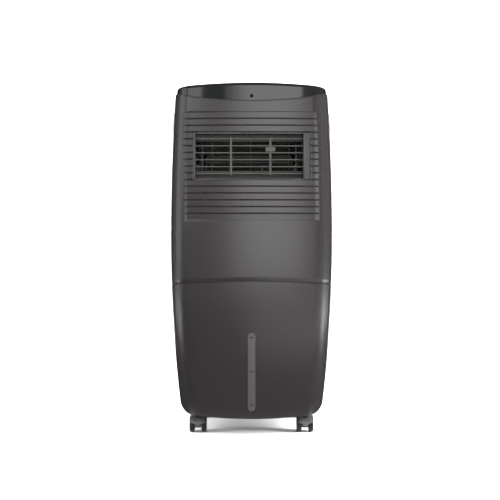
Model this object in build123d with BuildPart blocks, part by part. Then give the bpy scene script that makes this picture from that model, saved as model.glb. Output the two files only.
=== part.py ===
"""Tower air cooler: evaporative cooler with a louvred outlet, a water tank and four twin-wheel castors.

Millimetres. X runs to the right, Y from front to rear, Z up, with Z = 0 on the floor.
"""
from build123d import *
from math import cos, pi, sin, sqrt
import os

os.makedirs("parts", exist_ok=True)

# Body
width = 376
depth = 330
height = 811
wall = 3.0
waist_level = 455
foot_level = 67
foot_taper = 22.5
foot_lean = 14
shoulder_drop = 28
shoulder_taper = 10
shoulder_lean = 7
plan_radius = 1300
front_corner = 45
rear_corner = 24
grille_stand = 5

# Crown, seams and skirt
crown_depth = 43
crown_sag = 20
crown_arch = 10
crown_inset = 3
crown_edge = 8
tank_seam = 347
seam_arch = 8
seam_gap = 0.8
lip_depth = 6
skirt_level = 40
skirt_arch = 11.5
skirt_corner = 40

# Slatted field and outlet
field_drop = 69
slat_pitch = 15.5
slat_count = 16
slats_above = 3
slats_open = 7
field_depth = 2.0
groove_depth = 1.6
groove_width = 2.6
outlet_width = 268.8
outlet_corner = 3
fit_gap = 0.4
run_gap = 0.05
move_gap = 0.5

# Louvres
frame_setback = 9
frame_depth = 72
frame_wall = 2.4
left_cheek = 5.4
right_cheek = 16
blade_count = 6
blade_pitch = 15.9
blade_chord = 15
blade_thickness = 2.2
louvre_setback = 20
louvre_arm = 5.5
pin_radius = 2.0
link_pin = 0.9
link_width = 4.5
link_thickness = 3.4
link_hole_gap = 0.25
link_places = (-47, 43)
tab_width = 22
tab_height = 10.4
notch_reach = 3.2

# Deflectors
deflector_count = 5
deflector_pitch = 44.6
deflector_chord = 30
deflector_thickness = 1.8
deflector_setback = 49
deflector_arm = 11
deflector_link_height = 5
deflector_link_rise = 14
stub_pitch = 75
stub_height = 22

# Fan
scroll_wall = 2.4
scroll_growth = 10.5
wheel_gap = 8
fan_blades = 30
shaft_radius = 4
motor_radius = 43
motor_length = 42
motor_flange = 54

# Rear cassette
cassette_width = 292
cassette_height = 372
cassette_top_drop = 68
cassette_depth = 46
grille_pitch = 12
pad_thickness = 28
filter_thickness = 2

# Water parts
window_width = 17.8
window_low = 58.5
window_high = 237.5
float_radius = 6
float_level = 155
pump_size = 56
pump_height = 62
hose_radius = 5
drain_radius = 9
drain_level = 82
door_width = 104
door_height = 42

# Castors
wheel_radius = 20
wheel_width = 11.5
castor_gap = 16
castor_x = 125
castor_front_setback = 65
castor_trail = 12
hood_gap = 1.2
hood_wall = 2.2
hood_low = 12
stem_radius = 4
axle_radius = 3
base_thickness = 3
hood_headroom = 9.6

# Top controls and side grips
button_radius = 7
button_pitch = 34
button_count = 5
button_stand = 0.8
button_travel = 1.2
button_setback = 112
display_width = 96
display_length = 26
display_setback = 74
grip_length = 104
grip_height = 51
grip_level = 722
grip_setback = 53
grip_stand = 3.2
grip_depth = 28

front_face = -depth / 2
rear_face = depth / 2 - grille_stand
shoulder_level = height - shoulder_drop
top_of_form = height + 30
arch_half = width / 2 + 2
base_level = 2 * wheel_radius + hood_gap + hood_wall + hood_headroom


def bow_radius(rise, sag):
    """Radius of an arc that leaves its tangent by sag over the length rise."""
    return (rise**2 + sag**2) / (2 * sag)


flank_low = bow_radius(waist_level - foot_level, foot_taper)
flank_high = bow_radius(shoulder_level - waist_level, shoulder_taper)
front_low = bow_radius(waist_level - foot_level, foot_lean)
front_high = bow_radius(shoulder_level - waist_level, shoulder_lean)


def bowed(reach, low, high, z, inset=0.0):
    """Distance from the middle of a face that bows out to reach at the waist."""
    radius = low if z < waist_level else high
    return reach - radius + sqrt((radius - inset) ** 2 - (z - waist_level) ** 2)


def side_x(z, inset=0.0):
    """Half width of the body at a level."""
    return bowed(width / 2, flank_low, flank_high, z, inset)


def front_y(z, x=0.0, inset=0.0):
    """Y of the front face at a level and a distance from the middle."""
    radius = bowed(plan_radius, front_low, front_high, z, inset)
    return front_face + plan_radius - sqrt(radius**2 - x**2)


def barrel(inset):
    """Round form whose near side is the bulged front face."""
    foot = (bowed(plan_radius, front_low, front_high, 0, inset), 0)
    waist = (plan_radius - inset, waist_level)
    crown = (bowed(plan_radius, front_low, front_high, top_of_form, inset), top_of_form)
    with BuildPart() as form:
        with BuildSketch(Plane.XZ.offset(-(front_face + plan_radius))):
            with BuildLine():
                TangentArc(waist, foot, tangent=(0, -1))
                TangentArc(waist, crown, tangent=(0, 1))
                Polyline(foot, (0, 0), (0, top_of_form), crown)
            make_face()
        revolve(axis=Axis((0, front_face + plan_radius, 0), (0, 0, 1)))
    return form.part


def body_form(inset):
    """Solid of the whole body, inset from the outer skin, with rounded upright corners."""
    near = barrel(inset)
    foot = (side_x(0, inset), 0)
    waist = (width / 2 - inset, waist_level)
    crown = (side_x(top_of_form, inset), top_of_form)
    with BuildPart() as form:
        with BuildSketch(Plane.XZ.offset(-(rear_face - inset))):
            with BuildLine() as half:
                TangentArc(waist, foot, tangent=(0, -1))
                TangentArc(waist, crown, tangent=(0, 1))
                Line(foot, (0, 0))
                Line(crown, (0, top_of_form))
                mirror(half.line, about=Plane.YZ)
            make_face()
        extrude(amount=depth)
        add(near, mode=Mode.INTERSECT)
        upright = form.edges().filter_by(lambda e: abs((e @ 1 - e @ 0).Z) > 0.95 * e.length)
        fillet(upright.filter_by(lambda e: e.center().Y < 0), front_corner - inset)
        upright = form.edges().filter_by(lambda e: abs((e @ 1 - e @ 0).Z) > 0.95 * e.length)
        fillet(upright.filter_by(lambda e: e.center().Y > rear_face - inset - 1), rear_corner - inset)
    return form.part


def arched_block(low_middle, low_side, high_middle, high_side):
    """Block between two surfaces that arch across X and run straight from front to rear."""
    half = arch_half
    with BuildPart() as block:
        with BuildSketch(Plane.XZ.offset(-depth)):
            with BuildLine():
                ThreePointArc((-half, low_side), (0, low_middle), (half, low_side))
                Line((half, low_side), (half, high_side))
                ThreePointArc((half, high_side), (0, high_middle), (-half, high_side))
                Line((-half, high_side), (-half, low_side))
            make_face()
        extrude(amount=2 * depth)
    return block.part


def skirt_block(inset, high_middle, high_side):
    """Block above the arched foot of the tank, with rounded lower corners."""
    low_side = skirt_level + skirt_arch + inset
    flare = skirt_level + skirt_arch + skirt_corner + 1
    half = side_x(flare - 1, inset)
    with BuildPart() as block:
        with BuildSketch(Plane.XZ.offset(-depth)) as face:
            with BuildLine():
                ThreePointArc((-half, low_side), (0, skirt_level + inset), (half, low_side))
                Polyline((half, low_side), (half, flare), (arch_half, flare), (arch_half, high_side))
                ThreePointArc((arch_half, high_side), (0, high_middle), (-arch_half, high_side))
                Polyline((-arch_half, high_side), (-arch_half, flare), (-half, flare), (-half, low_side))
            make_face()
            low_corners = face.vertices().filter_by(lambda v: abs(v.Y - low_side) < 0.01)
            fillet(low_corners, skirt_corner - inset)
        extrude(amount=2 * depth)
    return block.part


def boxed(low, high):
    """Plain block between two opposite corners."""
    with BuildPart() as block:
        with BuildSketch(Plane.XY.offset(low[2])):
            with Locations(((low[0] + high[0]) / 2, (low[1] + high[1]) / 2)):
                Rectangle(high[0] - low[0], high[1] - low[1])
        extrude(amount=high[2] - low[2])
    return block.part


def keep(piece, name):
    """Label a finished piece and write it to its own file."""
    piece.part.label = name
    export_step(piece.part, f"parts/{name}.step")


skin = body_form(0)
lining = body_form(wall)

# Levels that several pieces share
crown_middle = height - crown_depth
crown_side = crown_middle + crown_sag
seam_middle = tank_seam + seam_arch
field_top = height - field_drop
field_low = field_top - slat_count * slat_pitch
outlet_top = field_top - slats_above * slat_pitch
outlet_low = outlet_top - slats_open * slat_pitch
outlet_level = (outlet_top + outlet_low) / 2
base_top = base_level + base_thickness

# Rear cassette opening, shared by the rear housing, grille, filter and pad
cassette_top = height - cassette_top_drop
cassette_low = cassette_top - cassette_height
cassette_level = (cassette_top + cassette_low) / 2
cassette_front = depth / 2 - cassette_depth

# ---------------------------------------------------------------- housings
panel_back = field_depth + groove_depth + wall
field_margin = 5
split_y = rear_face - rear_corner - 6
cassette_gap = 0.6


def post_x(z):
    """Middle of the flat strip beside the cassette opening in the rear wall."""
    return (cassette_width / 2 + cassette_gap + side_x(z) - rear_corner) / 2


boss_radius = 4.2
screw_radius = 1.5
screw_levels = (tank_seam + 60, (tank_seam + crown_side) / 2, crown_side - 75)
screw_places = [(side * post_x(z), z) for z in screw_levels for side in (-1, 1)]
boss_start = split_y - 20
boss_end = rear_face - wall
pilot_depth = 14

field_form = barrel(field_depth)
panel_form = barrel(panel_back)
field_zone = boxed((-width, front_face - 5, field_low), (width, 0, field_top))
panel_zone = boxed((-width, front_face - 5, field_low - field_margin), (width, 0, field_top + field_margin))
upper_zone = arched_block(seam_middle + seam_gap / 2, tank_seam + seam_gap / 2, crown_middle, crown_side)

with BuildPart() as field_cut:
    add(field_zone)
    add(field_form, mode=Mode.SUBTRACT)

with BuildPart() as backing:
    add(panel_zone)
    add(skin, mode=Mode.INTERSECT)
    add(field_form, mode=Mode.INTERSECT)
    add(panel_form, mode=Mode.SUBTRACT)

with BuildPart() as grooves:
    with BuildSketch(Plane.XZ.offset(-(front_face + plan_radius))):
        for groove in range(1, slat_count):
            level = field_top - groove * slat_pitch
            edge = bowed(plan_radius, front_low, front_high, level, field_depth)
            with BuildLine():
                Polyline(
                    (edge - groove_depth, level - groove_width / 4),
                    (edge + 2, level - groove_width / 2),
                    (edge + 2, level + groove_width / 2),
                    (edge - groove_depth, level + groove_width / 4),
                    close=True,
                )
            make_face()
    revolve(axis=Axis((0, front_face + plan_radius, 0), (0, 0, 1)))


def outlet_prism(shrink):
    """Upright slot of the outlet, from well in front of the body to its middle."""
    with BuildPart() as prism:
        with BuildSketch(Plane.XZ.offset(-front_face + 10)):
            with Locations((0, outlet_level)):
                RectangleRounded(outlet_width - 2 * shrink, outlet_top - outlet_low - 2 * shrink, outlet_corner)
        extrude(amount=-(depth / 2))
    return prism.part


def grip_prism(side, length, tall, x_low, x_high):
    """Rounded block across the side wall at a grip."""
    with BuildPart() as prism:
        with BuildSketch(Plane.YZ.offset(side * x_low)):
            with Locations((front_face + grip_setback + grip_length / 2, grip_level)):
                RectangleRounded(length, tall, tall / 3)
        extrude(amount=side * (x_high - x_low))
    return prism.part


grip_wall = 2.4
cup_length = grip_length - 10
cup_height = grip_height - 10
outlet_hole = outlet_prism(0)

with BuildPart() as housing:
    add(skin)
    add(lining, mode=Mode.SUBTRACT)
    add(backing.part)
    add(upper_zone, mode=Mode.INTERSECT)
    for x, z in screw_places:
        with BuildSketch(Plane.XZ.offset(-boss_start)):
            with Locations((x, z)):
                Circle(boss_radius)
        extrude(amount=-(boss_end - boss_start))
        side = 1 if x > 0 else -1
        rib = (min(x, side * width), max(x, side * width))
        add(boxed((rib[0], boss_start, z - 1.5), (rib[1], split_y, z + 1.5)))
    add(skin, mode=Mode.INTERSECT)

with BuildPart() as front_housing:
    add(housing.part)
    split(bisect_by=Plane.XZ.offset(-split_y), keep=Keep.TOP)
    add(field_cut.part, mode=Mode.SUBTRACT)
    add(grooves.part, mode=Mode.SUBTRACT)
    add(outlet_hole, mode=Mode.SUBTRACT)
    for side in (-1, 1):
        add(grip_prism(side, cup_length + 2 * fit_gap, cup_height + 2 * fit_gap, 0, width), mode=Mode.SUBTRACT)
    for x, z in screw_places:
        with BuildSketch(Plane.XZ.offset(-split_y)):
            with Locations((x, z)):
                Circle(screw_radius)
        extrude(amount=pilot_depth, mode=Mode.SUBTRACT)
keep(front_housing, "front_housing")

gland_radius = 5
gland_rise = 30
gland_place = (post_x(tank_seam + gland_rise), tank_seam + gland_rise)
with BuildPart() as rear_housing:
    add(housing.part)
    split(bisect_by=Plane.XZ.offset(-split_y), keep=Keep.BOTTOM)
    with BuildSketch(Plane.XZ.offset(-rear_face - 1)):
        with Locations((0, cassette_level)):
            RectangleRounded(cassette_width + 2 * cassette_gap, cassette_height + 2 * cassette_gap, 8)
    extrude(amount=wall + 20, mode=Mode.SUBTRACT)
    for x, z in screw_places:
        with BuildSketch(Plane.XZ.offset(-split_y)):
            with Locations((x, z)):
                Circle(screw_radius + fit_gap)
        extrude(amount=-(rear_face + 1 - split_y), mode=Mode.SUBTRACT)
    with BuildSketch(Plane.XZ.offset(-rear_face - 1)):
        with Locations(gland_place):
            Circle(gland_radius)
    extrude(amount=wall + 2, mode=Mode.SUBTRACT)
keep(rear_housing, "rear_housing")

screw_length = rear_face - split_y + pilot_depth - 2
with BuildPart() as housing_screws:
    for x, z in screw_places:
        with BuildSketch(Plane.XZ.offset(-rear_face)):
            with Locations((x, z)):
                Circle(screw_radius)
        extrude(amount=screw_length)
        with BuildSketch(Plane.XZ.offset(-rear_face)):
            with Locations((x, z)):
                Circle(2.2 * screw_radius)
        extrude(amount=-1.6)
keep(housing_screws, "housing_screws")

with BuildPart() as cord_gland:
    with BuildSketch(Plane.XZ.offset(-(rear_face - wall))):
        with Locations(gland_place):
            Circle(gland_radius)
            Circle(gland_radius / 2, mode=Mode.SUBTRACT)
    extrude(amount=-(wall + grille_stand))
    with BuildSketch(Plane.XZ.offset(-rear_face)):
        with Locations(gland_place):
            Circle(gland_radius + 2)
            Circle(gland_radius / 2, mode=Mode.SUBTRACT)
    extrude(amount=-1.5)
keep(cord_gland, "cord_gland")

# ---------------------------------------------------------------- side grips
for side, name in ((-1, "handle_left"), (1, "handle_right")):
    face = side_x(grip_level)
    with BuildPart() as handle:
        add(grip_prism(side, grip_length, grip_height, face - grip_stand, face + grip_stand))
        add(skin, mode=Mode.SUBTRACT)
        add(grip_prism(side, cup_length, cup_height, face - grip_depth, face))
        mouth = grip_prism(side, cup_length - 2 * grip_wall, cup_height - 2 * grip_wall,
                           face - grip_depth + grip_wall, face + 2 * grip_stand)
        add(mouth, mode=Mode.SUBTRACT)
    keep(handle, name)

# ---------------------------------------------------------------- crown and controls
crown_wall = 2.6
crown_top_side = height - crown_arch
crown_zone = arched_block(crown_middle, crown_side, height, crown_top_side)
hollow_zone = arched_block(crown_middle - 5, crown_side - 5, height - crown_wall, crown_top_side - crown_wall)


def crown_form(inset, zone, radius):
    """Crown solid with its top edge rounded."""
    with BuildPart() as form:
        add(body_form(crown_inset + inset))
        add(zone, mode=Mode.INTERSECT)
        rim = form.faces().sort_by(Axis.Z)[-1].edges()
        fillet(rim, radius)
    return form.part


receiver_radius = 4
receiver_level = height - 32
receiver_face = front_y(receiver_level, 0, crown_inset)
button_y = front_face + button_setback
display_y = front_face + display_setback
button_xs = [(index - (button_count - 1) / 2) * button_pitch for index in range(button_count)]
arch_radius = bow_radius(arch_half, crown_arch)


def top_z(x):
    """Height of the crown's top face."""
    return height - arch_radius + sqrt(arch_radius**2 - x**2)


with BuildPart() as control_panel:
    add(crown_form(0, crown_zone, crown_edge))
    add(crown_form(crown_wall, hollow_zone, crown_edge - crown_wall), mode=Mode.SUBTRACT)
    for x in button_xs:
        with BuildSketch(Plane.XY.offset(height - 20)):
            with Locations((x, button_y)):
                Circle(button_radius + fit_gap)
        extrude(amount=30, mode=Mode.SUBTRACT)
    with BuildSketch(Plane.XY.offset(height - 20)):
        with Locations((0, display_y)):
            RectangleRounded(display_width, display_length, 4)
    extrude(amount=30, mode=Mode.SUBTRACT)
    with BuildSketch(Plane.XZ.offset(-receiver_face + 5)):
        with Locations((0, receiver_level)):
            Circle(receiver_radius)
    extrude(amount=-15, mode=Mode.SUBTRACT)
keep(control_panel, "control_panel")

with BuildPart() as display_window:
    with BuildSketch(Plane.XY.offset(height - 20)):
        with Locations((0, display_y)):
            RectangleRounded(display_width - 0.2, display_length - 0.2, 4)
    extrude(amount=30)
    add(arched_block(height - crown_wall, crown_top_side - crown_wall, height - 0.3, crown_top_side - 0.3),
        mode=Mode.INTERSECT)
keep(display_window, "display_window")

with BuildPart() as ir_receiver:
    with BuildSketch(Plane.XZ.offset(-receiver_face)):
        with Locations((0, receiver_level)):
            Circle(receiver_radius - 0.1)
    extrude(amount=-9)
    fillet(ir_receiver.faces().sort_by(Axis.Y)[0].edges(), 1.5)
keep(ir_receiver, "ir_receiver")

button_names = ("button_timer", "button_swing", "button_power", "button_cool", "button_speed")
button_length = 9
for x, name in zip(button_xs, button_names):
    with BuildPart() as button:
        with BuildSketch(Plane.XY.offset(top_z(x) + button_stand - button_length)):
            with Locations((x, button_y)):
                Circle(button_radius)
        extrude(amount=button_length)
        fillet(button.faces().sort_by(Axis.Z)[-1].edges(), 1.2)
        with BuildSketch(Plane.XY.offset(top_z(x) - crown_wall - 3)):
            with Locations((x, button_y)):
                Circle(button_radius + 1.6)
        extrude(amount=1.8)
    keep(button, name)

board_top = top_z(button_xs[0]) + button_stand - button_length - button_travel - move_gap
with BuildPart() as control_board:
    with BuildSketch(Plane.XY.offset(board_top)):
        with Locations((0, (button_y + display_y) / 2)):
            Rectangle(button_count * button_pitch + 20, button_setback - display_setback + 36)
    extrude(amount=-1.6)
keep(control_board, "control_board")

# ---------------------------------------------------------------- louvre frame
louvre_y = front_face + louvre_setback
deflector_y = front_face + deflector_setback
frame_front = front_face + frame_setback
frame_rear = frame_front + frame_depth
frame_half = outlet_width / 2 - fit_gap
frame_top = outlet_top - fit_gap
frame_low = outlet_low + fit_gap
duct_left = -frame_half + left_cheek
duct_right = frame_half - right_cheek
duct_top = frame_top - frame_wall
duct_low = frame_low + frame_wall
top_blade = outlet_level + (blade_count - 1) / 2 * blade_pitch
blade_levels = [top_blade - index * blade_pitch for index in range(blade_count)]
deflector_middle = (duct_left + duct_right) / 2 + 2.9
deflector_xs = [deflector_middle + (index - (deflector_count - 1) / 2) * deflector_pitch
                for index in range(deflector_count)]
stub_middle = (duct_left + duct_right) / 2 - 9
stub_xs = [stub_middle + (index - 1.5) * stub_pitch for index in range(4)]

with BuildPart() as louvre_frame:
    add(boxed((-frame_half, frame_front, frame_low), (frame_half, frame_rear, frame_top)))
    add(boxed((duct_left, frame_front - 1, duct_low), (duct_right, frame_rear + 1, duct_top)), mode=Mode.SUBTRACT)
    add(boxed((duct_right + frame_wall, frame_front + frame_wall, duct_low),
              (frame_half - frame_wall, frame_rear + 1, duct_top)), mode=Mode.SUBTRACT)
    add(barrel(field_depth + 1.2), mode=Mode.INTERSECT)
    add(outlet_prism(fit_gap), mode=Mode.INTERSECT)
    for x in stub_xs:
        add(boxed((x - 1.5, frame_rear - 8, duct_low), (x + 1.5, frame_rear - 2, duct_low + stub_height)))
    with BuildSketch(Plane.YZ.offset(-width)):
        with Locations([(louvre_y, z) for z in blade_levels]):
            Circle(pin_radius + run_gap)
    extrude(amount=width + duct_right + frame_wall + 1, mode=Mode.SUBTRACT)
    with BuildSketch(Plane.XY.offset(frame_low - 1)):
        with Locations([(x, deflector_y) for x in deflector_xs]):
            Circle(pin_radius + run_gap)
    extrude(amount=frame_top - frame_low + 2, mode=Mode.SUBTRACT)
keep(louvre_frame, "louvre_frame")

pin_length = 4.5
for index, z in enumerate(blade_levels, start=1):
    with BuildPart() as louvre_blade:
        with BuildSketch(Plane.YZ.offset(duct_left + move_gap)):
            with Locations((louvre_y, z)):
                SlotOverall(blade_chord, blade_thickness)
        extrude(amount=duct_right - duct_left - 2 * move_gap)
        for x in link_places:
            notch = boxed(
                (x - link_width / 2 - move_gap, louvre_y - blade_chord, z - blade_thickness),
                (x + link_width / 2 + move_gap, louvre_y - louvre_arm + notch_reach, z + blade_thickness),
            )
            add(notch, mode=Mode.SUBTRACT)
            with BuildSketch(Plane.YZ.offset(x - link_width / 2 - move_gap - 1)):
                with Locations((louvre_y - louvre_arm, z)):
                    Circle(link_pin)
            extrude(amount=link_width + 2 * move_gap + 2)
        with BuildSketch(Plane.YZ.offset(duct_left - pin_length)):
            with Locations((louvre_y, z)):
                Circle(pin_radius)
        extrude(amount=pin_length + 2)
        with BuildSketch(Plane.YZ.offset(duct_right - 2)):
            with Locations((louvre_y, z)):
                Circle(pin_radius)
        extrude(amount=frame_wall + 2)
    keep(louvre_blade, f"louvre_blade_{index}")

link_y = louvre_y - louvre_arm
link_end = 3.2
for x, name in zip(link_places, ("louvre_link_left", "louvre_link_right")):
    with BuildPart() as louvre_link:
        add(boxed((x - link_width / 2, link_y - link_thickness / 2, blade_levels[-1] - link_end),
                  (x + link_width / 2, link_y + link_thickness / 2, blade_levels[0] + link_end)))
        if name == "louvre_link_right":
            middle = (blade_levels[1] + blade_levels[2]) / 2
            add(boxed((x - tab_width / 2, link_y - link_thickness, middle - tab_height / 2),
                      (x + tab_width / 2, link_y + link_thickness / 2, middle + tab_height / 2)))
        with BuildSketch(Plane.YZ.offset(x - link_width)):
            with Locations([(link_y, z) for z in blade_levels]):
                Circle(link_pin + link_hole_gap)
        extrude(amount=2 * link_width, mode=Mode.SUBTRACT)
    keep(louvre_link, name)

# ---------------------------------------------------------------- deflectors
link_level = duct_low + deflector_link_rise
link_line = deflector_y + deflector_arm
deflector_notch = 3.9
swing_depth = 19
for index, x in enumerate(deflector_xs, start=1):
    driven = index == (deflector_count + 1) // 2
    with BuildPart() as deflector_blade:
        with BuildSketch(Plane.XY.offset(duct_low + move_gap)):
            with Locations(Location((x, deflector_y), 90)):
                SlotOverall(deflector_chord, deflector_thickness)
        extrude(amount=duct_top - duct_low - 2 * move_gap)
        notch = boxed(
            (x - 3, link_line - deflector_notch, link_level - deflector_link_height / 2 - move_gap),
            (x + 3, link_line + deflector_chord, link_level + deflector_link_height / 2 + move_gap),
        )
        add(notch, mode=Mode.SUBTRACT)
        with BuildSketch(Plane.XY.offset(link_level - deflector_link_height / 2 - move_gap - 1)):
            with Locations((x, link_line)):
                Circle(link_pin)
        extrude(amount=deflector_link_height + 2 * move_gap + 2)
        with BuildSketch(Plane.XY.offset(frame_low)):
            with Locations((x, deflector_y)):
                Circle(pin_radius)
        extrude(amount=frame_wall + 2)
        with BuildSketch(Plane.XY.offset(duct_top - 2)):
            with Locations((x, deflector_y)):
                Circle(pin_radius)
        extrude(amount=frame_wall + 2 + (8 if driven else 0))
    keep(deflector_blade, f"deflector_blade_{index}")

with BuildPart() as deflector_link:
    add(boxed((deflector_xs[0] - 5, link_line - 2, link_level - deflector_link_height / 2),
              (deflector_xs[-1] + 5, link_line + 2, link_level + deflector_link_height / 2)))
    with BuildSketch(Plane.XY.offset(link_level - deflector_link_height)):
        with Locations([(x, link_line) for x in deflector_xs]):
            Circle(link_pin + link_hole_gap)
    extrude(amount=2 * deflector_link_height, mode=Mode.SUBTRACT)
keep(deflector_link, "deflector_link")

swing_x = deflector_xs[deflector_count // 2]
with BuildPart() as swing_motor:
    with BuildSketch(Plane.XY.offset(outlet_top + 1)):
        with Locations((swing_x, deflector_y)):
            Circle(14)
            Rectangle(40, 7)
            Circle(pin_radius + run_gap, mode=Mode.SUBTRACT)
    extrude(amount=swing_depth)
    with BuildSketch(Plane.XY.offset(frame_top)):
        with Locations((swing_x, deflector_y)):
            Circle(8)
            Circle(pin_radius + run_gap, mode=Mode.SUBTRACT)
    extrude(amount=outlet_top + 1 - frame_top)
keep(swing_motor, "swing_motor")

# ---------------------------------------------------------------- fan
fan_room = cassette_front - 8 - frame_rear
tongue_gap = 2
tongue_rise = 6
scroll_reach = (fan_room - tongue_gap) / 2 - scroll_wall - scroll_growth
fan_y = frame_rear + tongue_gap + scroll_wall + scroll_reach
fan_level = outlet_low + scroll_wall - tongue_rise
fan_radius = scroll_reach - wheel_gap
scroll_left = duct_left + 14
scroll_right = duct_right - 12


def scroll_outline(spread):
    """Snail outline that widens from the tongue, under the wheel and up behind it to the outlet."""
    reach = scroll_reach + spread
    tongue = (fan_y - reach, fan_level)
    under = (fan_y, fan_level - reach - scroll_growth)
    behind = (fan_y + reach + 2 * scroll_growth, fan_level)
    over = (fan_y, outlet_top - scroll_wall + spread)
    sill = fan_level + tongue_rise - spread
    with BuildLine() as line:
        low_front = TangentArc(tongue, under, tangent=(0, -1))
        low_rear = TangentArc(under, behind, tangent=low_front % 1)
        TangentArc(behind, over, tangent=low_rear % 1)
        Polyline(over, (frame_rear, over[1]), (frame_rear, sill), (tongue[0], sill), tongue)
    return line.line


with BuildPart() as fan_scroll:
    with BuildSketch(Plane.YZ.offset(scroll_left)):
        add(scroll_outline(scroll_wall))
        make_face()
    extrude(amount=scroll_right - scroll_left)
    with BuildSketch(Plane.YZ.offset(scroll_left - 1)):
        add(scroll_outline(0))
        make_face()
    extrude(amount=scroll_right - scroll_left - scroll_wall + 1, mode=Mode.SUBTRACT)
    add(boxed((scroll_left - 1, frame_rear - 1, outlet_low + scroll_wall),
              (scroll_right - scroll_wall, frame_rear + scroll_wall + 1, outlet_top - scroll_wall)),
        mode=Mode.SUBTRACT)
    with BuildSketch(Plane.YZ.offset(scroll_right - scroll_wall - 1)):
        with Locations((fan_y, fan_level)):
            Circle(motor_radius + 1)
    extrude(amount=scroll_wall + 2, mode=Mode.SUBTRACT)
keep(fan_scroll, "fan_scroll")

with BuildPart() as scroll_cover:
    with BuildSketch(Plane.YZ.offset(scroll_left - scroll_wall)):
        add(scroll_outline(scroll_wall))
        make_face()
    extrude(amount=scroll_wall)
    with BuildSketch(Plane.YZ.offset(scroll_left - scroll_wall - 8)):
        with Locations((fan_y, fan_level)):
            Circle(fan_radius - 10 + scroll_wall)
    extrude(amount=8)
    with BuildSketch(Plane.YZ.offset(scroll_left - scroll_wall - 9)):
        with Locations((fan_y, fan_level)):
            Circle(fan_radius - 10)
    extrude(amount=20, mode=Mode.SUBTRACT)
keep(scroll_cover, "scroll_cover")

wheel_left = scroll_left + 6
wheel_right = scroll_right - scroll_wall - 6
with BuildPart() as blower_wheel:
    with BuildSketch(Plane.YZ.offset(wheel_right - 2)):
        with Locations((fan_y, fan_level)):
            Circle(fan_radius)
    extrude(amount=2)
    with BuildSketch(Plane.YZ.offset(wheel_right - 14)):
        with Locations((fan_y, fan_level)):
            Circle(3 * shaft_radius)
    extrude(amount=12)
    with BuildSketch(Plane.YZ.offset(wheel_left)):
        with Locations((fan_y, fan_level)):
            Circle(fan_radius)
            Circle(fan_radius - 12, mode=Mode.SUBTRACT)
    extrude(amount=2)
    with BuildSketch(Plane.YZ.offset(wheel_left)):
        with Locations((fan_y, fan_level)):
            with PolarLocations(fan_radius - 6.5, fan_blades):
                Rectangle(11, 1.4, rotation=28)
    extrude(amount=wheel_right - wheel_left)
    with BuildSketch(Plane.YZ.offset(wheel_right - 18)):
        with Locations((fan_y, fan_level)):
            Circle(shaft_radius)
    extrude(amount=scroll_right - wheel_right + 18 + motor_length + 4)
keep(blower_wheel, "blower_wheel")

with BuildPart() as fan_motor:
    with BuildSketch(Plane.YZ.offset(scroll_right)):
        with Locations((fan_y, fan_level)):
            Circle(motor_flange)
    extrude(amount=2.5)
    with BuildSketch(Plane.YZ.offset(scroll_right)):
        with Locations((fan_y, fan_level)):
            Circle(motor_radius)
    extrude(amount=motor_length)
    fillet(fan_motor.faces().sort_by(Axis.X)[-1].edges(), 6)
    with BuildSketch(Plane.YZ.offset(scroll_right - 1)):
        with Locations((fan_y, fan_level)):
            Circle(shaft_radius + run_gap)
    extrude(amount=motor_length + 2, mode=Mode.SUBTRACT)
keep(fan_motor, "fan_motor")

# ---------------------------------------------------------------- rear cassette
tray_wall = 2.4
slot_columns = 3
slot_width = (cassette_width - 24) / slot_columns - 6
slot_rows = int((cassette_height - 24) / grille_pitch)
pad_front = cassette_front + 3
with BuildPart() as rear_grille:
    with BuildSketch(Plane.XZ.offset(-depth / 2)):
        with Locations((0, cassette_level)):
            RectangleRounded(cassette_width, cassette_height, 8)
    extrude(amount=cassette_depth)
    with BuildSketch(Plane.XZ.offset(-(depth / 2 - grille_stand))):
        with Locations((0, cassette_level)):
            Rectangle(cassette_width - 2 * tray_wall, cassette_height - 2 * tray_wall)
    extrude(amount=cassette_depth - grille_stand - 2, mode=Mode.SUBTRACT)
    with BuildSketch(Plane.XZ.offset(-cassette_front - 3)):
        with Locations((0, cassette_level)):
            Rectangle(cassette_width - 5 * tray_wall, cassette_height - 5 * tray_wall)
    extrude(amount=5, mode=Mode.SUBTRACT)
    with BuildSketch(Plane.XZ.offset(-depth / 2)):
        with Locations((0, cassette_level)):
            with GridLocations(slot_width + 8, grille_pitch, slot_columns, slot_rows):
                SlotOverall(slot_width, grille_pitch - 5)
    extrude(amount=grille_stand + 1, mode=Mode.SUBTRACT)
    with BuildSketch(Plane.XY.offset(cassette_top - tray_wall - 1)):
        with Locations((0, pad_front + pad_thickness / 2)):
            Rectangle(cassette_width - 60, pad_thickness / 2)
    extrude(amount=tray_wall + 2, mode=Mode.SUBTRACT)
keep(rear_grille, "rear_grille")

pad_gap = 0.5
with BuildPart() as cooling_pad:
    with BuildSketch(Plane.XZ.offset(-pad_front)):
        with Locations((0, cassette_level)):
            Rectangle(cassette_width - 2 * tray_wall - 2 * pad_gap, cassette_height - 2 * tray_wall - 2 * pad_gap)
    extrude(amount=-pad_thickness)
keep(cooling_pad, "cooling_pad")

with BuildPart() as dust_filter:
    with BuildSketch(Plane.XZ.offset(-(pad_front + pad_thickness + pad_gap))):
        with Locations((0, cassette_level)):
            Rectangle(cassette_width - 2 * tray_wall - 2 * pad_gap, cassette_height - 2 * tray_wall - 2 * pad_gap)
    extrude(amount=-filter_thickness)
keep(dust_filter, "dust_filter")

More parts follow.
